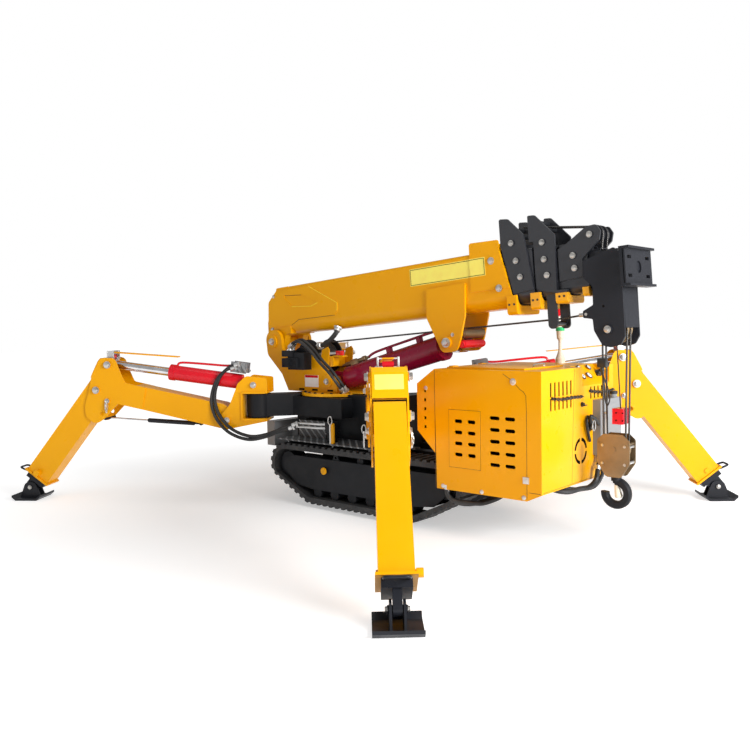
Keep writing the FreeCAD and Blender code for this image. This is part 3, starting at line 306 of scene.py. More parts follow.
class Surface:
    """Material in the making, with its shader and the coordinates of its object."""

    def __init__(self, name):
        self.material = bpy.data.materials.new(name)
        self.material.use_nodes = True
        self.tree = self.material.node_tree
        self.shader = self.tree.nodes["Principled BSDF"]
        self.coords = node(self.tree, "ShaderNodeTexCoord").outputs["Object"]

    def noise(self, scale, detail=4.0, rough=0.55):
        return node(self.tree, "ShaderNodeTexNoise", {
            "Vector": self.coords, "Scale": scale, "Detail": detail, "Roughness": rough,
        }).outputs["Fac"]

    def bands(self, scale):
        """Slanting bands."""
        return node(self.tree, "ShaderNodeTexWave", {"Vector": self.coords, "Scale": scale},
                    bands_direction="DIAGONAL").outputs["Fac"]

    def ramp(self, factor, low, high, start=0.3, end=0.7):
        """Grey from low, where the factor is at start, to high, where it is at end."""
        made = node(self.tree, "ShaderNodeValToRGB", {"Fac": factor})
        for element, place, grey in zip(made.color_ramp.elements, (start, end), (low, high)):
            element.position = place
            element.color = (grey, grey, grey, 1)
        return made.outputs["Color"]

    def mix(self, factor, first, second):
        return node(self.tree, "ShaderNodeMix", {0: factor, 6: first, 7: second},
                    data_type="RGBA").outputs[2]

    def both(self, first, second):
        return node(self.tree, "ShaderNodeMath", {0: first, 1: second},
                    operation="MULTIPLY").outputs[0]

    def beyond(self, direction, distance, soft=0.0015):
        """1 past a plane square to a direction, 0 before it."""
        dot = node(self.tree, "ShaderNodeVectorMath", {0: self.coords, 1: direction},
                   operation="DOT_PRODUCT")
        return node(self.tree, "ShaderNodeMapRange", {
            "Value": dot.outputs["Value"], "From Min": distance - soft,
            "From Max": distance + soft}).outputs["Result"]

    def paint_colour(self, colour, shade, dust):
        """Paint with slow tone changes, faint dust and a few scuffs."""
        tone = self.mix(self.ramp(self.noise(1.7, 3), 0, 1), colour, shade)
        film = self.ramp(self.noise(9, 8, 0.7), 0, dust, 0.52, 0.85)
        dusty = tuple(min(1, c * 0.85 + 0.06) for c in colour)
        return self.mix(film, tone, dusty)

    def bump(self, height, strength, distance):
        made = node(self.tree, "ShaderNodeBump",
                    {"Height": height, "Strength": strength, "Distance": distance})
        feed(self.tree, self.shader, {"Normal": made.outputs["Normal"]})

    def finish(self, colour, rough, **more):
        """The material, with more inputs of the shader named with underscores."""
        inputs = {key.replace("_", " "): value for key, value in more.items()}
        feed(self.tree, self.shader, {"Base Color": colour, "Roughness": rough, **inputs})
        return self.material


RED = (0.72, 0.010, 0.020)
RED_SHADE = (0.58, 0.008, 0.02)
YELLOW = (0.85, 0.390, 0.0002)
YELLOW_SHADE = (0.81, 0.352, 0.0002)
BLACK = (0.012, 0.013, 0.017)
BLACK_SHADE = (0.019, 0.020, 0.025)
WHITE = (0.80, 0.80, 0.78)


def paint(name, colour, shade, rough=0.3, dust=0.3, zones=(), coat=0.3):
    """Gloss paint; zones are (direction, distance, colour) painted past a plane."""
    surface = Surface(name)
    tone = surface.paint_colour(colour, shade, dust)
    for direction, distance, other in zones:
        lighter = tuple(c * 1.4 for c in other)
        tone = surface.mix(surface.beyond(direction, distance), tone,
                           surface.paint_colour(other, lighter, dust))
    surface.bump(surface.noise(160, 2), 0.10, 0.0006)
    gloss = surface.ramp(surface.noise(14, 6), rough - 0.05, rough + 0.14)
    return surface.finish(tone, gloss, Specular_IOR_Level=0.16, Coat_Weight=coat,
                          Coat_Roughness=0.12)


def metal(name, colour, rough, brushed=0.0):
    surface = Surface(name)
    smudge = surface.noise(12, 6)
    dark = tuple(c * 0.7 for c in colour)
    surface.bump(surface.noise(220, 3), 0.05 + brushed, 0.0004)
    return surface.finish(surface.mix(surface.ramp(smudge, 0, 1), dark, colour),
                          surface.ramp(smudge, rough, rough + 0.16), Metallic=1.0)


def rubber(name, colour=(0.018, 0.018, 0.020), rough=0.62):
    surface = Surface(name)
    dust = surface.ramp(surface.noise(6, 8, 0.7), 0, 0.55, 0.42, 0.8)
    surface.bump(surface.noise(90, 6), 0.25, 0.0012)
    return surface.finish(surface.mix(dust, colour, (0.075, 0.072, 0.066)),
                          surface.ramp(surface.noise(30, 4), rough - 0.08, rough + 0.18))


def plastic(name, colour, rough=0.35, coat=0.3):
    surface = Surface(name)
    lighter = tuple(min(1.0, c * 1.3) for c in colour)
    surface.bump(surface.noise(120), 0.05, 0.0005)
    return surface.finish(surface.mix(surface.noise(20), colour, lighter), rough,
                          Specular_IOR_Level=0.05 + coat, Coat_Weight=coat)


def chequer(name):
    """Dark tread plate with raised bars and a painted highlight along their tops."""
    surface = Surface(name)
    tone = surface.paint_colour((0.045, 0.047, 0.050), (0.07, 0.07, 0.072), 0.3)
    bands = surface.bands(11)
    surface.bump(surface.ramp(bands, 0, 1, 0.55, 0.75), 0.8, 0.003)
    # Lighter grey along the tops of the bars: painted highlight
    bar_highlight = surface.ramp(bands, 0, 0.8, 0.72, 0.9)
    return surface.finish(surface.mix(bar_highlight, tone, (0.30, 0.31, 0.32)), 0.45)


def wire_rope(name):
    """Oiled steel rope: the strands show as slanting bands."""
    surface = Surface(name)
    strands = surface.bands(55)
    surface.bump(strands, 0.5, 0.001)
    return surface.finish(surface.mix(strands, (0.02, 0.019, 0.018), (0.11, 0.105, 0.10)), 0.45,
                          Metallic=0.7)


MAT = {
    "yellow": paint("paint_yellow", YELLOW, YELLOW_SHADE, 0.30, 0.03, coat=0.06),
    "black": paint("paint_black", BLACK, BLACK_SHADE, 0.36, 0.04, coat=0.1),
    "dark": paint("paint_dark_matt", (0.008, 0.009, 0.011), (0.014, 0.015, 0.018), 0.5, 0.05,
                  coat=0.05),
    "grey": paint("paint_grey", (0.24, 0.245, 0.25), (0.20, 0.205, 0.215), 0.35, 0.12),
    "red": paint("paint_red", RED, RED_SHADE, 0.22, 0.1),
    "crimson": paint("paint_crimson", (0.30, 0.004, 0.035), (0.22, 0.003, 0.03), 0.2, 0.1),
    "chrome": metal("hard_chrome", (0.82, 0.82, 0.84), 0.08),
    "steel": metal("plated_steel", (0.62, 0.60, 0.57), 0.28, 0.1),
    "tan_steel": metal("yellow_passivated", (0.34, 0.25, 0.15), 0.40, 0.1),
    "silver": metal("cast_silver", (0.75, 0.75, 0.74), 0.34, 0.1),
    "dark_steel": metal("blackened_steel", (0.10, 0.10, 0.105), 0.30, 0.1),
    "rubber": rubber("track_rubber"),
    "hose": rubber("hose_rubber", (0.007, 0.007, 0.008), 0.5),
    "rope": wire_rope("wire_rope"),
    "chequer": chequer("tread_plate"),
    "white": plastic("white_plastic", WHITE, 0.35),
    "red_lens": plastic("red_lens", (0.60, 0.01, 0.01), 0.15),
    "black_plastic": plastic("black_plastic", (0.010, 0.010, 0.011), 0.4),
    "cream": plastic("cream_latch", (0.72, 0.66, 0.54), 0.35),
    "sign": plastic("blank_sign", (0.93, 0.72, 0.12), 0.4),
    # Painted light: lit_edge is a painted highlight, seam_shadow and gap_shadow are painted
    # shade
    "edge": plastic("lit_edge", (0.98, 0.66, 0.03), 0.4),
    "seam": plastic("seam_shadow", (0.10, 0.045, 0.004), 0.6),
    "gap": plastic("gap_shadow", (0.004, 0.003, 0.002), 0.8, coat=0.0),
}
SLOT_LOOKS = {
    "yellow_paint": ["yellow", "sign", "seam", "edge"],
    "black_paint": ["black", "dark", "gap"],
    "bright_steel": ["steel", "tan_steel", "silver", "dark_steel", "cream", "white"],
    "track_rubber": ["hose", "black_plastic"],
    "signal_red": ["red", "red_lens"],
    "grey_paint": ["grey"],
    "crimson_paint": ["crimson"],
    "chrome": ["chrome"],
    "wire_rope": ["rope"],
}
SLOTS = {look: slot for slot, looks in SLOT_LOOKS.items() for look in looks}

NODE_LOOKS = {
    "yellow": ["cabinet_sides", "cabinet_top", "cabinet_end", "cabinet_rear", "control_console",
               "pillar", "turret_pins", "boom_base"],
    "black": ["boom_head"],
    "dark": ["chassis_frame", "outrigger_beams", "cabinet_floor", "slew_ring", "engine_block",
             "track_frame_left", "track_frame_right", "winch_motor", "winch_drum", "hook"],
    "grey": ["rear_guard", "hydraulic_tank"],
    "crimson": ["luff_barrel"],
    "chrome": ["luff_rod"],
    "tan_steel": ["head_sheaves", "hook_block"],
    "rubber": ["track_belt_left", "track_belt_right"],
    "rope": ["hoist_falls"],
    "chequer": ["deck_plates"],
}
LEG_LOOKS = {"bracket": "yellow", "arm": "yellow", "foot": "black", "lift_barrel": "red",
             "lift_rod": "chrome"}
# Yellow trough of each section: first s, last s and top t
TROUGHS = {
    "boom_second": (2.018, 2.080, 0.110),
    "boom_third": (2.156, 2.230, 0.092),
    "boom_fourth": (2.298, 2.340, 0.110),
}
# Colours of the signal lamp, each from its height up
LAMP_RINGS = [(1.087, (0.02, 0.42, 0.14)), (1.109, WHITE), (1.172, RED), (1.216, WHITE)]
WEIGHT_TOP = 0.7012


def dress(name, material):
    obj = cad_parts[name]
    obj.data.materials.clear()
    obj.data.materials.append(material)


def trough_paint(name, first, last, under):
    """Black section with its trough painted yellow: between two places s, under a t."""
    surface = Surface(name)
    inside = surface.both(
        surface.beyond(BOOM_ALONG, on_boom(first, 0, 0).dot(BOOM_ALONG)),
        surface.beyond(-BOOM_UP, -on_boom(0, 0, under).dot(BOOM_UP)))
    inside = surface.both(
        inside, surface.beyond(-BOOM_ALONG, -on_boom(last, 0, 0).dot(BOOM_ALONG)))
    tone = surface.mix(inside, surface.paint_colour(BLACK, BLACK_SHADE, 0.04),
                       surface.paint_colour(YELLOW, YELLOW_SHADE, 0.2))
    surface.bump(surface.noise(160, 2), 0.10, 0.0006)
    return surface.finish(tone, surface.ramp(surface.noise(14, 6), 0.3, 0.46), Coat_Weight=0.15)


def dress_cad():
    for look, names in NODE_LOOKS.items():
        for name in names:
            dress(name, MAT[look])
    for name, trough in TROUGHS.items():
        dress(name, trough_paint(f"paint_{name}", *trough))
    cord = (UP, WEIGHT_TOP, (0.03, 0.028, 0.026))
    dress("limit_weight", paint("paint_weight", RED, RED_SHADE, 0.22, 0.05, [cord], 0.1))
    rings = [(UP, height, colour) for height, colour in LAMP_RINGS]
    dress("beacon", paint("paint_beacon", (0.78, 0.70, 0.56), (0.70, 0.62, 0.50), 0.25, 0.05,
                          rings))
    for leg in map(Leg, LEGS):
        for part, look in LEG_LOOKS.items():
            dress(f"{part}_{leg.name}", MAT[look])
        knee = leg.at(KNEE_PIN[0], 0, KNEE_PIN[1])
        along = (leg.at(FOOT_PIN[0], 0, FOOT_PIN[1]) - knee).normalized()
        collar = (along, knee.dot(along) + COLLAR_END, BLACK)
        dress(f"lower_leg_{leg.name}", paint(f"paint_leg_{leg.name}", YELLOW, YELLOW_SHADE,
                                             0.3, 0.03, [collar], 0.06))


# Stage

def make_camera():
    yaw, pitch, roll = (math.radians(v) for v in (CAMERA_YAW, CAMERA_PITCH, CAMERA_ROLL))
    forward = Vector((-math.sin(yaw) * math.cos(pitch), math.cos(yaw) * math.cos(pitch),
                      math.sin(pitch)))
    right = Vector((math.cos(yaw), math.sin(yaw), 0))
    up = right.cross(forward)
    right, up = (right * math.cos(roll) + up * math.sin(roll),
                 up * math.cos(roll) - right * math.sin(roll))
    data = bpy.data.cameras.new("camera")
    data.lens = CAMERA_LENS
    data.sensor_width = SENSOR
    data.clip_end = 100
    camera = bpy.data.objects.new("camera", data)
    turn = Matrix((right, up, -forward)).transposed()
    camera.matrix_world = Matrix.Translation(CAMERA_AT) @ turn.to_4x4()
    bpy.context.collection.objects.link(camera)
    bpy.context.scene.camera = camera


def area_light(name, place, target, size, power):
    data = bpy.data.lights.new(name, "AREA")
    data.shape = "RECTANGLE"
    data.size, data.size_y = size
    data.energy = power
    light = bpy.data.objects.new(name, data)
    light.location = place
    light.rotation_euler = (Vector(target) - Vector(place)).to_track_quat("-Z", "Y").to_euler()
    bpy.context.collection.objects.link(light)


def make_floor():
    """Pale floor that glows more with distance, so that it fades into the backdrop."""
    surface = Surface("studio_floor")
    away = node(surface.tree, "ShaderNodeVectorMath", {0: surface.coords}, operation="LENGTH")
    fade = node(surface.tree, "ShaderNodeMapRange", {
        "Value": away.outputs["Value"], "From Min": 1.2, "From Max": 3.6, "To Min": 0.45})
    tone = surface.mix(surface.noise(2), (0.70, 0.70, 0.70), (0.73, 0.73, 0.73))
    surface.finish(tone, 0.9, Emission_Color=(0.92, 0.92, 0.92),
                   Emission_Strength=fade.outputs["Result"])
    bm = bmesh.new()
    bmesh.ops.create_grid(bm, x_segments=1, y_segments=1, size=40)
    floor = new_object("floor", bm, surface.material)
    floor.location = (0, 0, -0.0005)


def make_stage():
    make_floor()
    world = bpy.data.worlds.new("studio")
    bpy.context.scene.world = world
    world.use_nodes = True
    tree = world.node_tree
    seen = node(tree, "ShaderNodeLightPath").outputs
    mirrored = node(tree, "ShaderNodeMath", {0: seen["Is Glossy Ray"], 1: 0.3},
                    operation="MULTIPLY")
    bright = node(tree, "ShaderNodeMath", {0: seen["Is Camera Ray"], 1: mirrored.outputs[0]},
                  operation="MAXIMUM")
    strength = node(tree, "ShaderNodeMapRange",
                    {"Value": bright.outputs[0], "To Min": 0.18, "To Max": 1.0})
    feed(tree, tree.nodes["Background"],
         {"Strength": strength.outputs["Result"], "Color": (1, 1, 1)})

    area_light("key", (6.4, -0.9, 2.4), (0.8, 0, 0.6), (3.0, 2.4), 490)
    area_light("top", (0.5, -0.5, 6.0), (0.3, 0, 0.6), (4.0, 4.0), 70)
    area_light("fill", (-2.5, -6.0, 2.6), (0.2, 0, 0.6), (4.0, 3.0), 16)
    bpy.context.scene.view_settings.view_transform = "Standard"


def hose_with_ends(name, points, radius, body, reach):
    """Rubber hose with a plated fitting at each end."""
    with piece(name, "hose", body) as bm:
        path, tangents = add_tube(bm, points, radius, 10, 8)
    with piece(f"{name}_fittings", "silver", body) as bm:
        for at, inward in ((path[0], tangents[0]), (path[-1], -tangents[-1])):
            add_hose_end(bm, at - inward * reach * 0.3, inward, reach, radius)


# Boom

# Bolts of each section, on both sides: s, y, t and size
BOOM_BOLTS = {
    "boom_base": [(LUFF_EYE[0], 0.134, LUFF_EYE[1], 0.022), (1.513, 0.124, -0.070, 0.009),
                  (1.798, 0.116, 0.309, 0.016), (1.837, 0.116, 0.156, 0.016),
                  (-0.030, 0.110, 0.085, 0.012), (0.010, 0.110, 0.310, 0.012)],
    "boom_second": [(1.928, 0.114, 0.385, 0.013), (1.950, 0.114, 0.288, 0.013),
                    (1.970, 0.114, 0.200, 0.013)],
    "boom_third": [(2.104, 0.099, 0.364, 0.013), (2.109, 0.099, 0.275, 0.013),
                   (2.120, 0.099, 0.191, 0.013)],
    "boom_fourth": [(2.265, 0.084, 0.273, 0.013), (2.270, 0.084, 0.208, 0.013),
                    (2.363, 0.084, 0.365, 0.013)],
    "boom_head": [(HEAD_SHEAVE[0], 0.100, HEAD_SHEAVE[1], 0.015)],
}
# Studs in the troughs, on both sides: y, then the places s, t
TROUGH_STUDS = {
    "boom_base": (0.118, [(1.895, 0.060), (1.925, 0.060)]),
    "boom_second": (0.107, [(2.034, 0.070), (2.060, 0.070)]),
    "boom_third": (0.092, [(2.180, 0.074), (2.207, 0.074)]),
}
# Spacer rods of the upper brackets: body, half length, then the places s, t
BRACKET_TIES = {
    "second_bracket_ties": ("boom_second", 0.096, [(1.885, 0.470), (1.935, 0.425)]),
    "third_bracket_ties": ("boom_third", 0.081, [(2.050, 0.480), (2.090, 0.440)]),
}
# The blank sign folds over the step of the boom's side: s from, s to and y of both halves
SIGN_HALVES = ((1.223, 1.656, 0.1104), (1.656, 1.757, 0.1164))
# Frames of painted shade around each half of the sign: s inner, s outer and y
SIGN_SHADE_FRAMES = ((1.655, 1.229, 0.1108), (1.657, 1.751, 0.1168))
SIGN_MIDDLE, SIGN_HIGH = 0.2865, 0.101
# Low and high t of the frames of painted shade
SIGN_SHADE_SPAN = (0.242, 0.331)
# Edges of the heel plate as lines of s, t: shaded ones get painted shade, lit ones a painted
# highlight
HEEL_SHADED = [[(0.580, 0.129), (0.241, 0.131), (0.168, 0.099)],
               [(0.101, 0.307), (0.280, 0.293)]]
HEEL_LIT = [[(0.360, 0.342), (0.612, 0.206), (0.608, 0.158)],
            [(0.185, 0.224), (0.371, 0.209), (0.434, 0.225)]]


def boom_lines(name, look, lines, y, width, lift):
    """Strips along lines of (s, t) on both sides of the base section."""
    with piece(name, look, "boom_base") as bm:
        for side, way in SIDES:
            for line in lines:
                add_strip(bm, [on_boom(s, side * y, t) for s, t in line], way, width, lift)


def collared_pin(name, look, s, t, radius, collar):
    """Pin across the front bracket with a thicker middle."""
    with piece(name, look, "boom_base") as bm:
        add_turned(bm, on_boom(s, -0.109, t), LEFT,
                   [(0, radius), (0.012, radius), (0.014, collar), (0.204, collar),
                    (0.206, radius), (0.218, radius)], 28)


def boom_fittings():
    for body, bolts in BOOM_BOLTS.items():
        with piece(f"{body}_bolts", "steel", body) as bm:
            for side, way in SIDES:
                for s, y, t, size in bolts:
                    add_bolt(bm, on_boom(s, side * y, t), way, size)

    with piece("boom_sign", "sign", "boom_base") as bm:
        for side, _ in SIDES:
            for first, last, y in SIGN_HALVES:
                add_block(bm, on_boom((first + last) / 2, side * y, SIGN_MIDDLE),
                          (last - first, SIGN_HIGH, 0.0008), (BOOM_ALONG, BOOM_UP, LEFT))

    # Dark frame of painted shade around each half of the sign
    with piece("boom_sign_shade_line", "gap", "boom_base") as bm:
        low, high = SIGN_SHADE_SPAN
        for side, way in SIDES:
            for inner, outer, y in SIGN_SHADE_FRAMES:
                corners = ((inner, low), (outer, low), (outer, high), (inner, high))
                add_strip(bm, [on_boom(s, side * y, t) for s, t in corners], way, 0.0030, 0.0006)

    # Strips of painted shade on the heel plate's shaded edges, painted highlight on its lit
    # edges
    boom_lines("heel_plate_shadow", "seam", HEEL_SHADED, 0.1095, 0.0030, 0.0009)
    boom_lines("heel_plate_highlight", "edge", HEEL_LIT, 0.1138, 0.0034, 0.0008)
    collared_pin("bracket_cross_pin", "tan_steel", 1.555, -0.067, 0.024, 0.030)
    collared_pin("bracket_red_pin", "red", 1.557, -0.128, 0.020, 0.024)

    for body, (y, places) in TROUGH_STUDS.items():
        with piece(f"{body}_studs", "black_plastic", body, slot="black_paint") as bm:
            for side, way in SIDES:
                for s, t in places:
                    add_turned(bm, on_boom(s, side * y, t), way,
                               [(-0.001, 0.0062), (0.0012, 0.0062), (0.0012, 0.0032)], 14)

    for name, (body, y, places) in BRACKET_TIES.items():
        with piece(name, "dark", body) as bm:
            for s, t in places:
                add_rod(bm, on_boom(s, -y, t), on_boom(s, y, t), 0.012)


def boom_ropes():
    """Hoist rope under the boom, one length on each section, and the ropes on top."""
    start, end = on_boom(0.330, ROPE_Y, ROPE_T), on_boom(2.130, ROPE_Y, ROPE_T)
    for i, body in enumerate(("boom_base", "boom_second", "boom_third", "boom_fourth")):
        with piece(f"hoist_rope_{body}", "rope", body) as bm:
            add_rod(bm, start, end, 0.0050 - i * 0.0003, 12)

    with piece("hoist_rope_head", "rope", "boom_head") as bm:
        add_rod(bm, start, end, 0.0038, 12)
        add_tube(bm, [on_boom(2.128, ROPE_Y, ROPE_T), on_boom(2.20, -0.059, -0.038),
                      on_boom(2.321, -0.070, -0.031)], 0.0050)

    with piece("rope_anchor", "steel", "boom_head") as bm:
        add_rod(bm, on_boom(2.321, -0.064, -0.031), on_boom(2.321, -0.096, -0.031), 0.0075)
        add_turned(bm, on_boom(2.300, -0.069, -0.032), BOOM_ALONG,
                   [(-0.03, 0.006), (-0.026, 0.0095), (0.012, 0.0095), (0.03, 0.006)], 16)

    with piece("extension_ropes", "rope", "boom_fourth") as bm:
        s, t, groove = 2.363, 0.365, 0.046
        for y in (-0.026, 0.026):
            arc = [on_boom(s + groove * math.sin(a), y, t + groove * math.cos(a))
                   for a in (math.radians(d) for d in (-12, 10, 35, 60, 85, 110))]
            root = on_boom(1.960, y, 0.470)
            lead = [root.lerp(arc[0], k / 4) for k in range(4)]
            add_tube(bm, lead + arc + [on_boom(2.398, y, 0.288)], 0.0050, 10, 4)


def head_fittings():
    # Flat dark discs of painted shade where the head's holes are
    with piece("head_hole_shade", "gap", "boom_head") as bm:
        for side, way in SIDES:
            for s, t in ((2.415, 0.000), (2.321, -0.031)):
                add_turned(bm, on_boom(s, side * 0.0898, t), way,
                           [(0, 0.0062), (0.0009, 0.0062)], 16)

    with piece("channel_hole_ring", "dark", "boom_head") as bm:
        add_turned(bm, on_boom(2.5605, 0, 0.178), BOOM_ALONG,
                   [(-0.004, 0.027), (0.0005, 0.027), (0.0005, 0.023), (-0.003, 0.021)], 28)

    with piece("channel_ends", "black", "boom_head") as bm:
        for side, _ in SIDES:
            add_block(bm, on_boom(2.552, side * 0.152, 0.178), (0.022, 0.006, 0.168),
                      (BOOM_ALONG, LEFT, BOOM_UP), 0.001)

    with piece("limit_switch", "black_plastic", "hoist_falls") as bm:
        add_block(bm, (1.712, -0.040, 0.930), (0.046, 0.028, 0.046), bevel=0.004)
        add_turned(bm, (1.712, -0.040, 0.908), -UP,
                   [(0, 0.010), (0.018, 0.010), (0.02, 0.006), (0.034, 0.006)], 16)

    with piece("limit_switch_cable", "hose", "hoist_falls") as bm:
        add_tube(bm, [(1.714, -0.042, 0.890), (1.722, -0.046, 0.860), (1.748, -0.052, 0.800),
                      (1.757, -0.052, 0.750), (1.742, -0.046, 0.716), (1.727, -0.040, 0.745),
                      (1.722, -0.036, 0.810), (1.710, -0.036, 0.895)], 0.0036, 8)

    # Flat dark discs of painted shade at the screws of the limit weight
    with piece("weight_screw_shade", "gap", "hoist_falls") as bm:
        for side, way in SIDES:
            for x in (FALLS_X + 0.016, FALLS_X + 0.050):
                for z in (0.642, 0.680):
                    add_turned(bm, (x, side * 0.0379, z), way, [(0, 0.0042), (0.0012, 0.0042)],
                               12)


def block_fittings():
    """Bolts and spacer bars between the hook block's cheeks, cream shank above the hook."""
    with piece("block_bolts", "steel", "hook_block") as bm:
        for side, way in SIDES:
            for x in (FALLS_X - 0.058, FALLS_X + 0.060):
                for z in (0.512, 0.420):
                    add_turned(bm, (x, side * 0.0384, z), way,
                               [(0, 0.0075), (0.0022, 0.0075), (0.0026, 0.005)], 16)

    with piece("block_bars", "silver", "hook_block") as bm:
        for x in (FALLS_X - 0.074, FALLS_X + 0.074):
            for z in (0.508, 0.428):
                add_rod(bm, (x, -0.033, z), (x, 0.033, z), 0.0075)

    with piece("hook_latch", "cream", "hook") as bm:
        add_turned(bm, (FALLS_X - 0.004, 0, 0.338), (0.018, 0, -0.092),
                   [(0, 0.009), (0.030, 0.012), (0.078, 0.019), (0.090, 0.020),
                    (0.095, 0.016)], 22)


# Outriggers

# Bolts over the pins of a leg's bodies: distance across, then u, z and size of each
LEG_BOLTS = {
    "arm": (KNEE_OUT + 0.008, [(*ROD_PIN, 0.019), (*KNEE_PIN, 0.019), (*LOCK_PIN, 0.013)]),
    "bracket": (BRACKET_OUT + 0.008, [(*BASE_PIN, 0.016), (*ARM_PIN, 0.016)]),
    "foot": (FOOT_OUT, [(*FOOT_PIN, 0.011)]),
}
GUARD_U = 0.990
STRUT_ROOT, STRUT_TIP = (0.395, 0, 0.506), (1.030, 0, 0.550)
SADDLE = (0.121, 0, 0.858)
# Half of the pull handle as u, w, z
HANDLE = [(1.600, -0.048, 0.196), (1.642, -0.050, 0.214), (1.660, -0.036, 0.221)]


def leg_fittings():
    for leg in map(Leg, LEGS):
        leg_bolts(leg)
        rod_guard(leg)
        gas_strut(leg)
        valve_saddle(leg)
        leg_trim(leg)


def leg_bolts(leg):
    for body, (w, pins) in LEG_BOLTS.items():
        with leg.piece(f"{body}_bolts", "steel", body) as bm:
            for side, _ in SIDES:
                for u, z, size in pins:
                    add_bolt(bm, leg.at(u, side * w, z), leg.across * side, size)

    with leg.piece("lock_clip", "steel", "arm") as bm:
        at = leg.at(LOCK_PIN[0] + 0.004, 0.098, LOCK_PIN[1] - 0.006)
        add_link(bm, at - UP * 0.030, UP, leg.out, 0.066, 0.022, 0.0018)
        add_chain(bm, [at, at - UP * 0.034 + leg.across * 0.006, at - UP * 0.066], 0.011)


def rod_guard(leg):
    """Thin guard over the rod, held by two cheeks on the rod's eye."""
    along = (leg.out * 0.443 + UP * 0.037).normalized()
    with leg.piece("rod_guard", "yellow", "lift_rod") as bm:
        add_block(bm, leg.at(0.772, 0, 0.9745), (0.470, 0.056, 0.005),
                  (along, leg.across, along.cross(leg.across)), 0.0015)

    with leg.piece("guard_cheeks", "silver", "lift_rod") as bm:
        for side, _ in SIDES:
            leg.block(bm, (GUARD_U, side * 0.046, 0.974), (0.040, 0.009, 0.052), 0.004)
            leg.block(bm, (GUARD_U, side * 0.036, 0.952), (0.030, 0.024, 0.010), 0.002)
            leg.block(bm, (GUARD_U, side * 0.036, 0.993), (0.030, 0.024, 0.006), 0.002)

    with leg.piece("guard_seat", "red", "lift_rod") as bm:
        add_turned(bm, leg.at(GUARD_U, -0.026, 0.966), leg.across,
                   [(0, 0.014), (0.052, 0.014)], 20)


def gas_strut(leg):
    """Gas spring under the arm, from a block at its root to a pin across its tip."""
    root, tip, across = leg.at(*STRUT_ROOT), leg.at(*STRUT_TIP), leg.across
    line = tip - root
    with leg.piece("strut_body", "black", "arm") as bm:
        add_turned(bm, root, line,
                   [(0.045, 0.008), (0.050, 0.015), (0.365, 0.015), (0.372, 0.008)], 20)
        add_turned(bm, root - across * 0.016, across, [(0, 0.011), (0.032, 0.011)], 16)
        add_rod(bm, root, root + line * 0.1, 0.007)

    with leg.piece("strut_rod", "chrome", "arm") as bm:
        add_rod(bm, root + line * 0.57, tip, 0.006)

    with leg.piece("strut_ends", "dark", "arm") as bm:
        add_rod(bm, tip - across * 0.076, tip + across * 0.076, 0.008)
        add_block(bm, root + UP * 0.014, (0.030, 0.044, 0.026), leg.axes, 0.002)


def valve_saddle(leg):
    """Grey saddle with its cap and hard pipe on the lift cylinder's root."""
    lean = (leg.out * 0.987 + UP * 0.144).normalized()
    square = lean.cross(leg.across)
    axes = (lean, leg.across, square)

    def at(run, w, lift):
        return leg.at(*SADDLE) + lean * run + leg.across * w + square * lift

    with leg.piece("valve_saddle", "grey", "lift_barrel") as bm:
        for side, _ in SIDES:
            add_block(bm, at(0, side * 0.042, 0.022), (0.098, 0.009, 0.062), axes, 0.004)
            for run in (-0.024, 0.014):
                add_rod(bm, at(run, side * 0.047, 0.034), at(run - 0.03, side * 0.056, -0.004),
                        0.0085)
        add_block(bm, at(0, 0, 0.006), (0.092, 0.080, 0.022), axes, 0.003)

    with leg.piece("valve_cap", "red", "lift_barrel") as bm:
        add_turned(bm, at(0, 0, 0.012), square,
                   [(0, 0.022), (0.022, 0.022), (0.024, 0.014), (0.040, 0.014),
                    (0.042, 0.009)], 20)

    with leg.piece("lift_pipe", "red", "lift_barrel") as bm:
        run = ((0.22, 0.892), (0.33, 0.902), (0.47, 0.914), (0.530, 0.914), (0.548, 0.896))
        add_tube(bm, [at(0.04, 0, 0.030)] + [leg.at(u, 0, z) for u, z in run], 0.0075)


def leg_trim(leg):
    """Shadow line at the knee, frames of the bracket's openings and the pull handle."""
    with leg.piece("knee_gap", "gap", "arm") as bm:
        leg.block(bm, (1.113, 0, 0.8115), (0.016, 0.148, 0.016))

    with leg.piece("window_frame", "yellow", "bracket") as bm:
        for side, _ in SIDES:
            w = side * (BRACKET_OUT + 0.003)
            leg.block(bm, (0.090, w, 0.6295), (0.012, 0.008, 0.182), 0.0012)
            for z in (0.718, 0.541):
                leg.block(bm, (0.010, w, z), (0.150, 0.008, 0.012), 0.0012)

    with leg.piece("pull_handle", "black", "lower_leg") as bm:
        points = HANDLE + [(1.661, 0, 0.221)] + [(u, -w, z) for u, w, z in reversed(HANDLE)]
        add_tube(bm, [leg.at(*p) for p in points], 0.0065)


def knee_plate():
    """Blank plate on the knee cover of the front right leg."""
    leg = Leg("front_right")
    along = (leg.out * 0.455 - UP * 0.890).normalized()
    square = (leg.out * 0.890 + UP * 0.455).normalized()
    with piece("knee_sign", "sign", "arm_front_right") as bm:
        add_block(bm, leg.at(1.0905, 0, 0.8955), (0.070, 0.126, 0.0012),
                  (along, leg.across, square), 0.0003)


# Cabinet

# Raised vent panel of each side: its upright and level cuts; every second cell is a slot
VENT_X = [1.014, 1.046, 1.100, 1.129, 1.183, 1.212]
VENT_Z = [0.382, *(0.451 + 0.059 * j + half for j in range(4) for half in (-0.0115, 0.0115)),
          0.687]
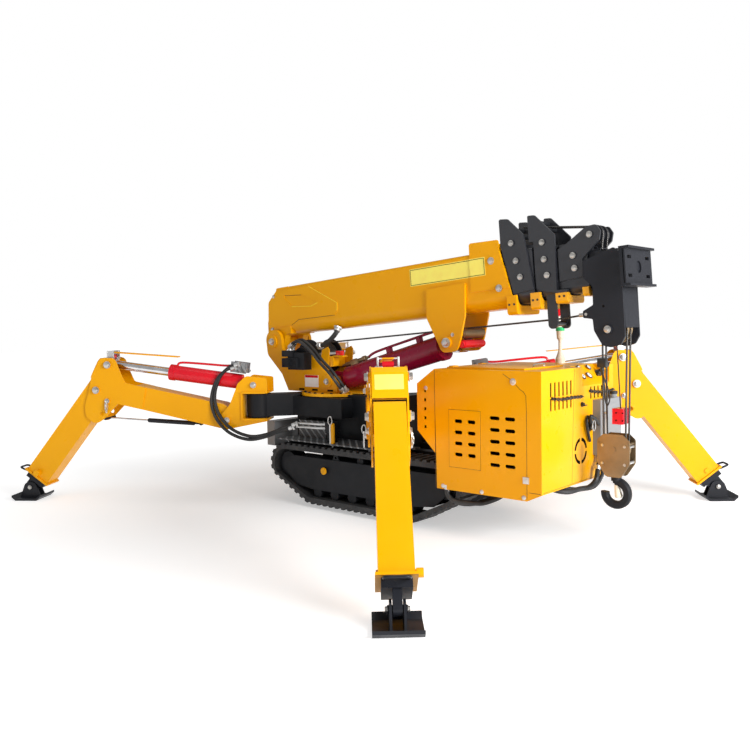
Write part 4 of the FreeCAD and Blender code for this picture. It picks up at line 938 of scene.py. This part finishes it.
# Seams of a side as lines of x, z
SIDE_SEAMS = [
    [(1.351, 0.885), (1.402, 0.853)],
    [(1.419, 0.838), (1.449, 0.810), (1.469, 0.798), (1.482, 0.780), (1.485, 0.700),
     (1.485, 0.266)],
    [(0.921, 0.893), (0.921, 0.262)],
    [(1.497, 0.300), (1.560, 0.300)],
]
VENT_BORDER = [(1.013, 0.381), (1.213, 0.381), (1.213, 0.688), (1.013, 0.688), (1.013, 0.381)]
SIDE_BUTTONS = [(0.969, 0.273), (1.217, 0.270), (1.467, 0.272), (0.861, 0.795)]
SIDE_RIVETS = [(1.458, 0.669), (1.461, 0.470), (1.022, 0.695), (1.204, 0.695), (1.022, 0.374),
               (1.204, 0.374), (0.945, 0.880)]
# Dark sheets of painted shade behind openings. Sides: x, z and y of the middle, then width and
# height
SIDE_SHADE_SHEETS = [(1.115, 0.540, 0.355, 0.190, 0.240), (1.345, 0.540, 0.355, 0.190, 0.300),
                (0.856, 0.690, 0.360, 0.080, 0.250)]
# End: y and z of the middle, then width and height
END_SHADE_SHEETS = [(-0.200, 0.770, 0.250, 0.160), (0.190, 0.759, 0.160, 0.082),
               (0.010, 0.462, 0.156, 0.156)]
# Gauges of the console: place along it, place up the slope, radius
GAUGES = [(0.022, 0.044, 0.015), (0.118, 0.044, 0.017), (0.224, 0.044, 0.015),
          (0.080, -0.012, 0.018), (0.153, -0.012, 0.018)]
LEVER_AT = 0.283


def pierced_panel(bm, x_cuts, z_cuts, y, depth):
    """Upright panel of cells between the cuts with its thickness, odd cells left out."""
    grid = [[bm.verts.new((x, y, z)) for z in z_cuts] for x in x_cuts]
    faces = []
    for i in range(len(x_cuts) - 1):
        for j in range(len(z_cuts) - 1):
            if not (i % 2 and j % 2):
                faces.append(bm.faces.new((grid[i][j], grid[i + 1][j], grid[i + 1][j + 1],
                                           grid[i][j + 1])))
    grown = bmesh.ops.extrude_face_region(bm, geom=faces)
    moved = [v for v in grown["geom"] if isinstance(v, bmesh.types.BMVert)]
    bmesh.ops.translate(bm, verts=moved, vec=(0, depth, 0))


def cabinet_side_fittings():
    with piece("side_vent_panels", "yellow", "chassis", angle=20) as bm:
        for side, _ in SIDES:
            pierced_panel(bm, VENT_X, VENT_Z, side * CAB_SIDE, side * 0.0018)

    with piece("side_seams", "seam", "chassis") as bm:
        for side, way in SIDES:
            y = side * (CAB_SIDE + 0.0001)
            for line in SIDE_SEAMS:
                add_strip(bm, [(x, y, z) for x, z in line], way, 0.0024, 0.0005)
            add_strip(bm, [(x, y, z) for x, z in VENT_BORDER], way, 0.0020, 0.0004)

    with piece("side_latches", "silver", "chassis") as bm:
        for side, way in SIDES:
            y = side * CAB_SIDE
            add_turned(bm, (1.410, y, 0.847), way,
                       [(0, 0.017), (0.004, 0.017), (0.006, 0.014), (0.006, 0.006),
                        (0.009, 0.005)])
            add_block(bm, (1.481, y + side * 0.003, 0.360), (0.034, 0.006, 0.034),
                      bevel=0.0025)
            add_turned(bm, (1.481, y + side * 0.006, 0.360), way,
                       [(0, 0.010), (0.002, 0.010), (0.003, 0.006)], 18)
            for x, z in SIDE_BUTTONS:
                add_turned(bm, (x, y, z), way,
                           [(0, 0.012), (0.0015, 0.012), (0.0045, 0.0085), (0.0055, 0.004)],
                           20)

    with piece("side_rivets", "yellow", "chassis") as bm:
        for side, way in SIDES:
            for x, z in SIDE_RIVETS:
                add_turned(bm, (x, side * CAB_SIDE, z), way,
                           [(0, 0.0045), (0.0010, 0.0038), (0.0014, 0.0015)], 12)

    # Dark sheets of painted shade behind the side's openings
    with piece("side_vent_shade_sheets", "gap", "chassis") as bm:
        for side, _ in SIDES:
            for x, z, y, width, height in SIDE_SHADE_SHEETS:
                add_block(bm, (x, side * y, z), (width, 0.004, height))


def cabinet_top_fittings():
    with piece("roof_lid", "yellow", "chassis") as bm:
        add_block(bm, (1.195, -0.130, CAB_TOP + 0.004), (0.480, 0.400, 0.008), bevel=0.003)
        for y in (-0.27, 0.01):
            add_block(bm, (0.958, y, CAB_TOP + 0.006), (0.030, 0.050, 0.012), bevel=0.003)

    with piece("lid_handle", "silver", "chassis") as bm:
        low, high = CAB_TOP + 0.006, CAB_TOP + 0.020
        add_tube(bm, [(1.400, -0.180, low), (1.403, -0.176, high), (1.403, -0.080, high),
                      (1.400, -0.076, low)], 0.004, 10, 5)


def cabinet_end_fittings():
    x = CAB_END

    with piece("end_seams", "seam", "chassis") as bm:
        upright = ((-0.058, 0.893), (-0.074, 0.600), (-0.088, 0.302))
        sill = ((-0.380, 0.302), (0.380, 0.302))
        for line, width, lift in ((upright, 0.0024, 0.0005), (sill, 0.0020, 0.0004)):
            add_strip(bm, [(x + 0.0001, y, z) for y, z in line], AHEAD, width, lift)

    with piece("safety_chains", "dark_steel", "chassis") as bm:
        add_chain(bm, [(x + 0.010, -0.283, 0.760), (x + 0.013, -0.200, 0.752),
                       (x + 0.014, -0.100, 0.753), (x + 0.010, 0.010, 0.748)])
        add_chain(bm, [(x + 0.010, 0.118, 0.769), (x + 0.016, 0.200, 0.760),
                       (x + 0.018, 0.290, 0.756), (x + 0.010, 0.378, 0.760)])
        for y, z in ((-0.292, 0.762), (0.018, 0.748), (0.108, 0.770), (0.386, 0.760)):
            add_turned(bm, (x, y, z), AHEAD,
                       [(0, 0.008), (0.004, 0.008), (0.005, 0.004), (0.013, 0.004)], 16)

    with piece("end_clamp", "black_plastic", "chassis") as bm:
        add_turned(bm, (x, 0.022, 0.706), AHEAD,
                   [(0, 0.013), (0.005, 0.013), (0.006, 0.010), (0.014, 0.010)], 20)
        add_block(bm, (x + 0.018, 0.030, 0.702), (0.008, 0.026, 0.006), bevel=0.001)
        add_turned(bm, (x, 0.092, 0.582), AHEAD,
                   [(0, 0.026), (0.012, 0.026), (0.014, 0.020), (0.026, 0.018)])
        add_tube(bm, [(x + 0.022, 0.092, 0.582), (x + 0.030, 0.060, 0.640),
                      (x + 0.034, 0.105, 0.622), (x + 0.036, 0.140, 0.590)], 0.010)
        add_tube(bm, [(x + 0.010, 0.072, 0.640), (x + 0.014, 0.048, 0.612),
                      (x + 0.014, 0.062, 0.560), (x + 0.012, 0.090, 0.505)], 0.008)

    with piece("end_clamp_ring", "silver", "chassis") as bm:
        add_link(bm, (x + 0.034, 0.092, 0.590), UP, LEFT, 0.056, 0.034, 0.0032)

    # Dark sheets of painted shade behind the louvres and the fan opening
    with piece("louvre_shade_sheets", "gap", "chassis") as bm:
        for y, z, width, height in END_SHADE_SHEETS:
            add_block(bm, (x - 0.0028, y, z), (0.004, width, height))


def console_fittings():
    """Bezels, faces and needles of the gauges on the sloping panel, and the lever."""
    half = CONSOLE_SIZE / 2
    middle = Vector((CAB_END - half, CONSOLE_Y, CAB_TOP - half))
    normal = Vector((1, 0, 1)).normalized()
    slope = Vector((-1, 0, 1)).normalized()
    gauges = [(middle + slope * up + LEFT * across, radius) for across, up, radius in GAUGES]

    with piece("gauge_bezels", "black_plastic", "chassis") as bm:
        for centre, radius in gauges:
            rim = [(0, radius + 0.0035), (0.0030, radius + 0.0035), (0.0042, radius + 0.0005),
                   (0.0030, radius - 0.0028)]
            add_turned(bm, centre + normal * 0.0072, normal, rim, 28)

    with piece("gauge_faces", "white", "chassis") as bm:
        for centre, radius in gauges:
            add_turned(bm, centre + normal * 0.0104, normal,
                       [(0, radius - 0.003), (0.0006, radius - 0.003)])

    with piece("gauge_needles", "black_plastic", "chassis") as bm:
        for i, (centre, radius) in enumerate(gauges):
            turn = math.radians(40 + 70 * i)
            point = slope * math.cos(turn) + LEFT * math.sin(turn)
            add_block(bm, centre + normal * 0.0114 + point * radius * 0.25,
                      (radius * 0.8, 0.0016, 0.0008), (point, normal.cross(point), normal))
            add_turned(bm, centre + normal * 0.0108, normal, [(0, 0.0026), (0.0016, 0.0026)],
                       12)

    with piece("lever_boot", "black_plastic", "chassis") as bm:
        foot = middle + LEFT * LEVER_AT
        add_turned(bm, foot, normal, [(0, 0.022), (0.006, 0.022), (0.020, 0.012),
                                      (0.030, 0.012), (0.036, 0.018), (0.044, 0.010)])
        add_turned(bm, foot + normal * 0.052, normal,
                   [(0, 0.0125), (0.010, 0.0160), (0.024, 0.0165), (0.032, 0.0130),
                    (0.036, 0.006)])
        for along in (-0.026, 0.026):
            add_turned(bm, foot + LEFT * along - slope * 0.012, normal,
                       [(0, 0.008), (0.010, 0.008), (0.012, 0.006), (0.020, 0.006)], 16)


def tank_fittings():
    x = TANK_OUT

    with piece("tank_level_gauge", "silver", "chassis") as bm:
        ends = (0.470, 0.650)
        add_rod(bm, *((x + 0.009, 0.172, z) for z in ends), 0.0065)
        for z in ends:
            add_turned(bm, (x, 0.172, z), AHEAD,
                       [(0, 0.012), (0.004, 0.012), (0.005, 0.009), (0.015, 0.009)], 18)

    with piece("tank_cap", "black_plastic", "chassis") as bm:
        add_turned(bm, (1.5935, 0.340, 0.739), UP,
                   [(0, 0.024), (0.014, 0.024), (0.017, 0.018), (0.017, 0.008)])

    with piece("tank_beads", "grey", "chassis") as bm:
        for z in (0.690, 0.455):
            add_block(bm, (x + 0.0008, 0.2695, z), (0.0016, 0.220, 0.012), bevel=0.0004)

    hose_with_ends("tank_hose", [
        (1.596, 0.176, 0.410), (1.600, 0.150, 0.372), (1.604, 0.130, 0.345),
        (1.602, 0.112, 0.296), (1.596, 0.050, 0.268), (1.588, -0.050, 0.272),
        (1.560, -0.130, 0.268), (1.500, -0.180, 0.285), (1.440, -0.200, 0.330)], 0.014,
        "chassis", 0.045)

    with piece("tank_return_hose", "hose", "chassis") as bm:
        add_tube(bm, [(1.590, 0.210, 0.412), (1.606, 0.180, 0.350), (1.612, 0.158, 0.310),
                      (1.598, 0.100, 0.262), (1.560, 0.010, 0.258), (1.500, -0.060, 0.276),
                      (1.420, -0.090, 0.335)], 0.010, 10)

    with piece("engine_drain", "black_plastic", "chassis") as bm:
        add_turned(bm, (1.520, -0.122, 0.300), -UP,
                   [(-0.06, 0.018), (0, 0.018), (0.004, 0.030), (0.030, 0.030),
                    (0.036, 0.020), (0.040, 0.008)])

    with piece("tank_hose_clip", "silver", "chassis") as bm:
        add_turned(bm, (1.603, 0.136, 0.372), (0.05, -0.35, -0.93),
                   [(0, 0.0165), (0.022, 0.0165)], 20)


# Turret

# Side plates of the rope guide as x, z
GUIDE_OUTLINE = [(-0.235, 0.886), (-0.215, 0.985), (-0.165, 1.005), (-0.150, 0.985),
                 (-0.165, 0.820)]
DISC_X, DISC_BOLTS_R, DISC_TOP = -0.170, 0.232, 0.708
PLATE_OUT = 0.1523
PILLAR_SIGN_X = -0.291
WINCH_HOSE = [(-0.398, -0.226, 1.010), (-0.360, -0.232, 1.036), (-0.290, -0.240, 1.040),
              (-0.205, -0.240, 0.990), (-0.122, -0.236, 0.912), (-0.050, -0.222, 0.845),
              (-0.008, -0.190, 0.772), (0.000, -0.150, 0.722)]


def winch_fittings():
    x, z = WINCH

    with piece("drum_rope", "rope", "winch_drum") as bm:
        turns, steps = 17, 22
        count = turns * steps
        add_tube(bm, [(x + WINCH_ROPE_R * math.cos(i * math.tau / steps),
                       -0.084 + 0.168 * i / count,
                       z + WINCH_ROPE_R * math.sin(i * math.tau / steps))
                      for i in range(count + 1)], 0.0050, 8, 1)

    with piece("drum_tie_rod", "silver", "turret") as bm:
        add_rod(bm, (-0.230, -0.119, 0.957), (-0.230, 0.119, 0.957), 0.010)

    with piece("drum_guide", "yellow", "turret") as bm:
        for y in (-0.112, 0.112):
            add_lofted(bm, [[bm.verts.new((a, y + half, b)) for a, b in GUIDE_OUTLINE]
                            for half in (-0.004, 0.004)])
        add_block(bm, (-0.223, 0, 0.905), (0.006, 0.224, 0.070), bevel=0.001)
        add_block(bm, (-0.075, -0.090, 0.945), (0.085, 0.050, 0.008), bevel=0.001)
        add_block(bm, (-0.118, -0.090, 0.915), (0.008, 0.050, 0.064), bevel=0.001)

    with piece("guide_lamp", "red_lens", "turret") as bm:
        add_block(bm, (-0.075, -0.092, 0.965), (0.050, 0.030, 0.030), bevel=0.004)

    for i, (dy, dz) in enumerate(((0.0, 0.0), (0.028, 0.010))):
        hose_with_ends(f"winch_hose_{i}", [(a, b + dy, c + dz) for a, b, c in WINCH_HOSE],
                       0.0105, "turret", 0.040)
    hose_with_ends("boom_supply_hose", [
        (-0.230, -0.118, 1.014), (-0.180, -0.124, 1.020), (-0.130, -0.126, 1.048),
        (-0.092, -0.110, 1.092), (-0.090, -0.092, 1.124)], 0.0160, "turret", 0.030)

    with piece("winch_ports", "silver", "turret") as bm:
        for y in (-0.226, -0.198):
            add_turned(bm, (-0.404, y, 0.984), UP,
                       [(0, 0.014), (0.012, 0.014), (0.014, 0.010), (0.030, 0.010)], 16)

    with piece("motor_cover", "dark", "turret") as bm:
        for step in (0, 0.006, 0.012):
            add_turned(bm, (x - 0.030, -0.262 - step, z - 0.036), -LEFT,
                       [(0, 0.030 - step), (0.005, 0.030 - step)], 20)
        for dx in (-0.088, 0.028):
            for dz in (-0.056, -0.016):
                add_bolt(bm, (x + dx, -0.261, z + dz), -LEFT, 0.006)


def pillar_fittings():
    with piece("pillar_sign", "white", "turret", slot="yellow_paint") as bm:
        add_block(bm, (PILLAR_SIGN_X, -PILLAR_OUT - 0.0006, 0.7795), (0.128, 0.0012, 0.078))

    with piece("pillar_sign_band", "red", "turret") as bm:
        add_block(bm, (PILLAR_SIGN_X, -PILLAR_OUT - 0.0014, 0.8095), (0.122, 0.0006, 0.016))

    # Thin dark strips of painted shade where the pillar's slots are
    with piece("pillar_slot_shade", "gap", "turret") as bm:
        for x in (-0.388, -0.263, -0.120):
            for side, _ in SIDES:
                add_block(bm, (x, side * (PILLAR_OUT + 0.0003), 0.722),
                          (0.052, 0.0008, 0.012), bevel=0.0003)

    with piece("disc_bolts", "dark", "turret") as bm:
        for k in range(24):
            turn = k * math.tau / 24
            x, y = DISC_X + DISC_BOLTS_R * math.cos(turn), DISC_BOLTS_R * math.sin(turn)
            if abs(y) > 0.150 or x > -0.055:
                add_bolt(bm, (x, y, DISC_TOP), UP, 0.008)

    with piece("turret_pin_bolts", "steel", "turret") as bm:
        for (x, z), size in ((BOOM_PIN, 0.019), (LUFF_BASE, 0.016)):
            for side, way in SIDES:
                add_bolt(bm, (x, side * PLATE_OUT, z), way, size)


def luff_fittings():
    """Lock valve, hard pipe and its clamps on the luffing cylinder."""
    base = Vector((LUFF_BASE[0], 0, LUFF_BASE[1]))
    along = (on_boom(LUFF_EYE[0], 0, LUFF_EYE[1]) - base).normalized()
    up = along.cross(LEFT)
    axes = (along, LEFT, up)

    def at(run, lift):
        return base + along * run + up * lift

    with piece("luff_lock_valve", "tan_steel", "luff_barrel") as bm:
        add_turned(bm, at(0.030, 0.090), along,
                   [(0, 0.009), (0.030, 0.009), (0.032, 0.014), (0.080, 0.014),
                    (0.083, 0.020), (0.130, 0.020), (0.133, 0.013), (0.185, 0.013),
                    (0.188, 0.018), (0.212, 0.018), (0.215, 0.009), (0.245, 0.009)], 18)
        add_block(bm, at(0.155, 0.084), (0.060, 0.046, 0.030), axes, 0.003)

    with piece("luff_pipe", "crimson", "luff_barrel") as bm:
        run = ((0.265, 0.090), (0.320, 0.104), (0.420, 0.108), (0.620, 0.108),
               (0.780, 0.108), (0.825, 0.104), (0.846, 0.078))
        add_tube(bm, [at(*place) for place in run], 0.0085)

    with piece("luff_pipe_clamps", "crimson", "luff_barrel") as bm:
        for place in (0.450, 0.700):
            add_block(bm, at(place, 0.090), (0.030, 0.034, 0.040), axes, 0.003)


# Deck and undercarriage

DECK = 0.418
# Lifting rings of the deck: x, height of the ring's middle, top of the rod
LIFTING_RINGS = [(0.079, 0.560, 0.536), (0.360, 0.528, 0.516)]
RING_Y = -0.352
LEG_HOSE = [(-0.617, -0.520, 0.882), (-0.662, -0.556, 0.866), (-0.714, -0.592, 0.806),
            (-0.745, -0.614, 0.712), (-0.738, -0.622, 0.624), (-0.690, -0.618, 0.540),
            (-0.606, -0.590, 0.462), (-0.500, -0.530, 0.420), (-0.400, -0.468, 0.436),
            (-0.304, -0.412, 0.478), (-0.236, -0.372, 0.500)]


def deck_fittings():
    with piece("deck_lifting_rings", "silver", "chassis") as bm:
        for x, middle, top in LIFTING_RINGS:
            add_link(bm, (x, RING_Y, middle), UP, AHEAD, 0.052, 0.034, 0.0034)
            add_rod(bm, (x, RING_Y, DECK), (x, RING_Y, top), 0.0055)

    with piece("deck_post", "yellow", "chassis") as bm:
        add_rod(bm, (0.095, -0.345, DECK), (0.095, -0.345, 0.536), 0.012)
        add_turned(bm, (0.095, -0.345, 0.536), UP, [(0, 0.012), (0.008, 0.008)], 16)

    with piece("track_grease_caps", "yellow", "chassis") as bm:
        for side, way in SIDES:
            add_turned(bm, (0.0205, side * 0.357, 0.2434), way,
                       [(0, 0.023), (0.006, 0.023), (0.010, 0.018)])

    for i, (dx, dy, dz) in enumerate(((0, 0, 0), (0.020, 0.012, 0.020))):
        hose_with_ends(f"leg_hose_{i}", [(x + dx, y + dy, z + dz) for x, y, z in LEG_HOSE],
                       0.0110, "bracket_rear_right", 0.042)

    with piece("deck_hard_pipes", "silver", "chassis") as bm:
        for y, z in ((-0.360, 0.503), (-0.352, 0.526)):
            add_tube(bm, [(-0.215, y, z), (-0.130, y + 0.006, z + 0.002),
                          (-0.030, y + 0.016, z + 0.002), (0.020, y + 0.050, z)], 0.007, 12, 5)

    with piece("deck_manifold", "dark", "chassis") as bm:
        add_block(bm, (0.045, -0.300, 0.512), (0.070, 0.060, 0.070), bevel=0.004)
        add_block(bm, (0.045, -0.300, 0.448), (0.050, 0.040, 0.062))

    with piece("engine_hoses", "hose", "chassis") as bm:
        add_tube(bm, [(0.985, -0.380, 0.262), (0.990, -0.384, 0.225), (1.030, -0.380, 0.196),
                      (1.110, -0.360, 0.192), (1.200, -0.330, 0.200), (1.290, -0.280, 0.262),
                      (1.300, -0.270, 0.400)], 0.013)
        add_tube(bm, [(0.960, -0.350, 0.275), (0.975, -0.356, 0.205), (1.040, -0.350, 0.178),
                      (1.130, -0.320, 0.184), (1.220, -0.270, 0.240), (1.240, -0.260, 0.400)],
                 0.011)

    with piece("engine_hose_fittings", "silver", "chassis") as bm:
        add_turned(bm, (0.985, -0.380, 0.300), -UP,
                   [(0, 0.012), (0.020, 0.012), (0.022, 0.018), (0.046, 0.018),
                    (0.048, 0.014), (0.062, 0.014)], 16)


make_camera()
make_stage()
dress_cad()
boom_fittings()
boom_ropes()
head_fittings()
block_fittings()
leg_fittings()
knee_plate()
cabinet_side_fittings()
cabinet_top_fittings()
cabinet_end_fittings()
console_fittings()
tank_fittings()
winch_fittings()
pillar_fittings()
luff_fittings()
deck_fittings()
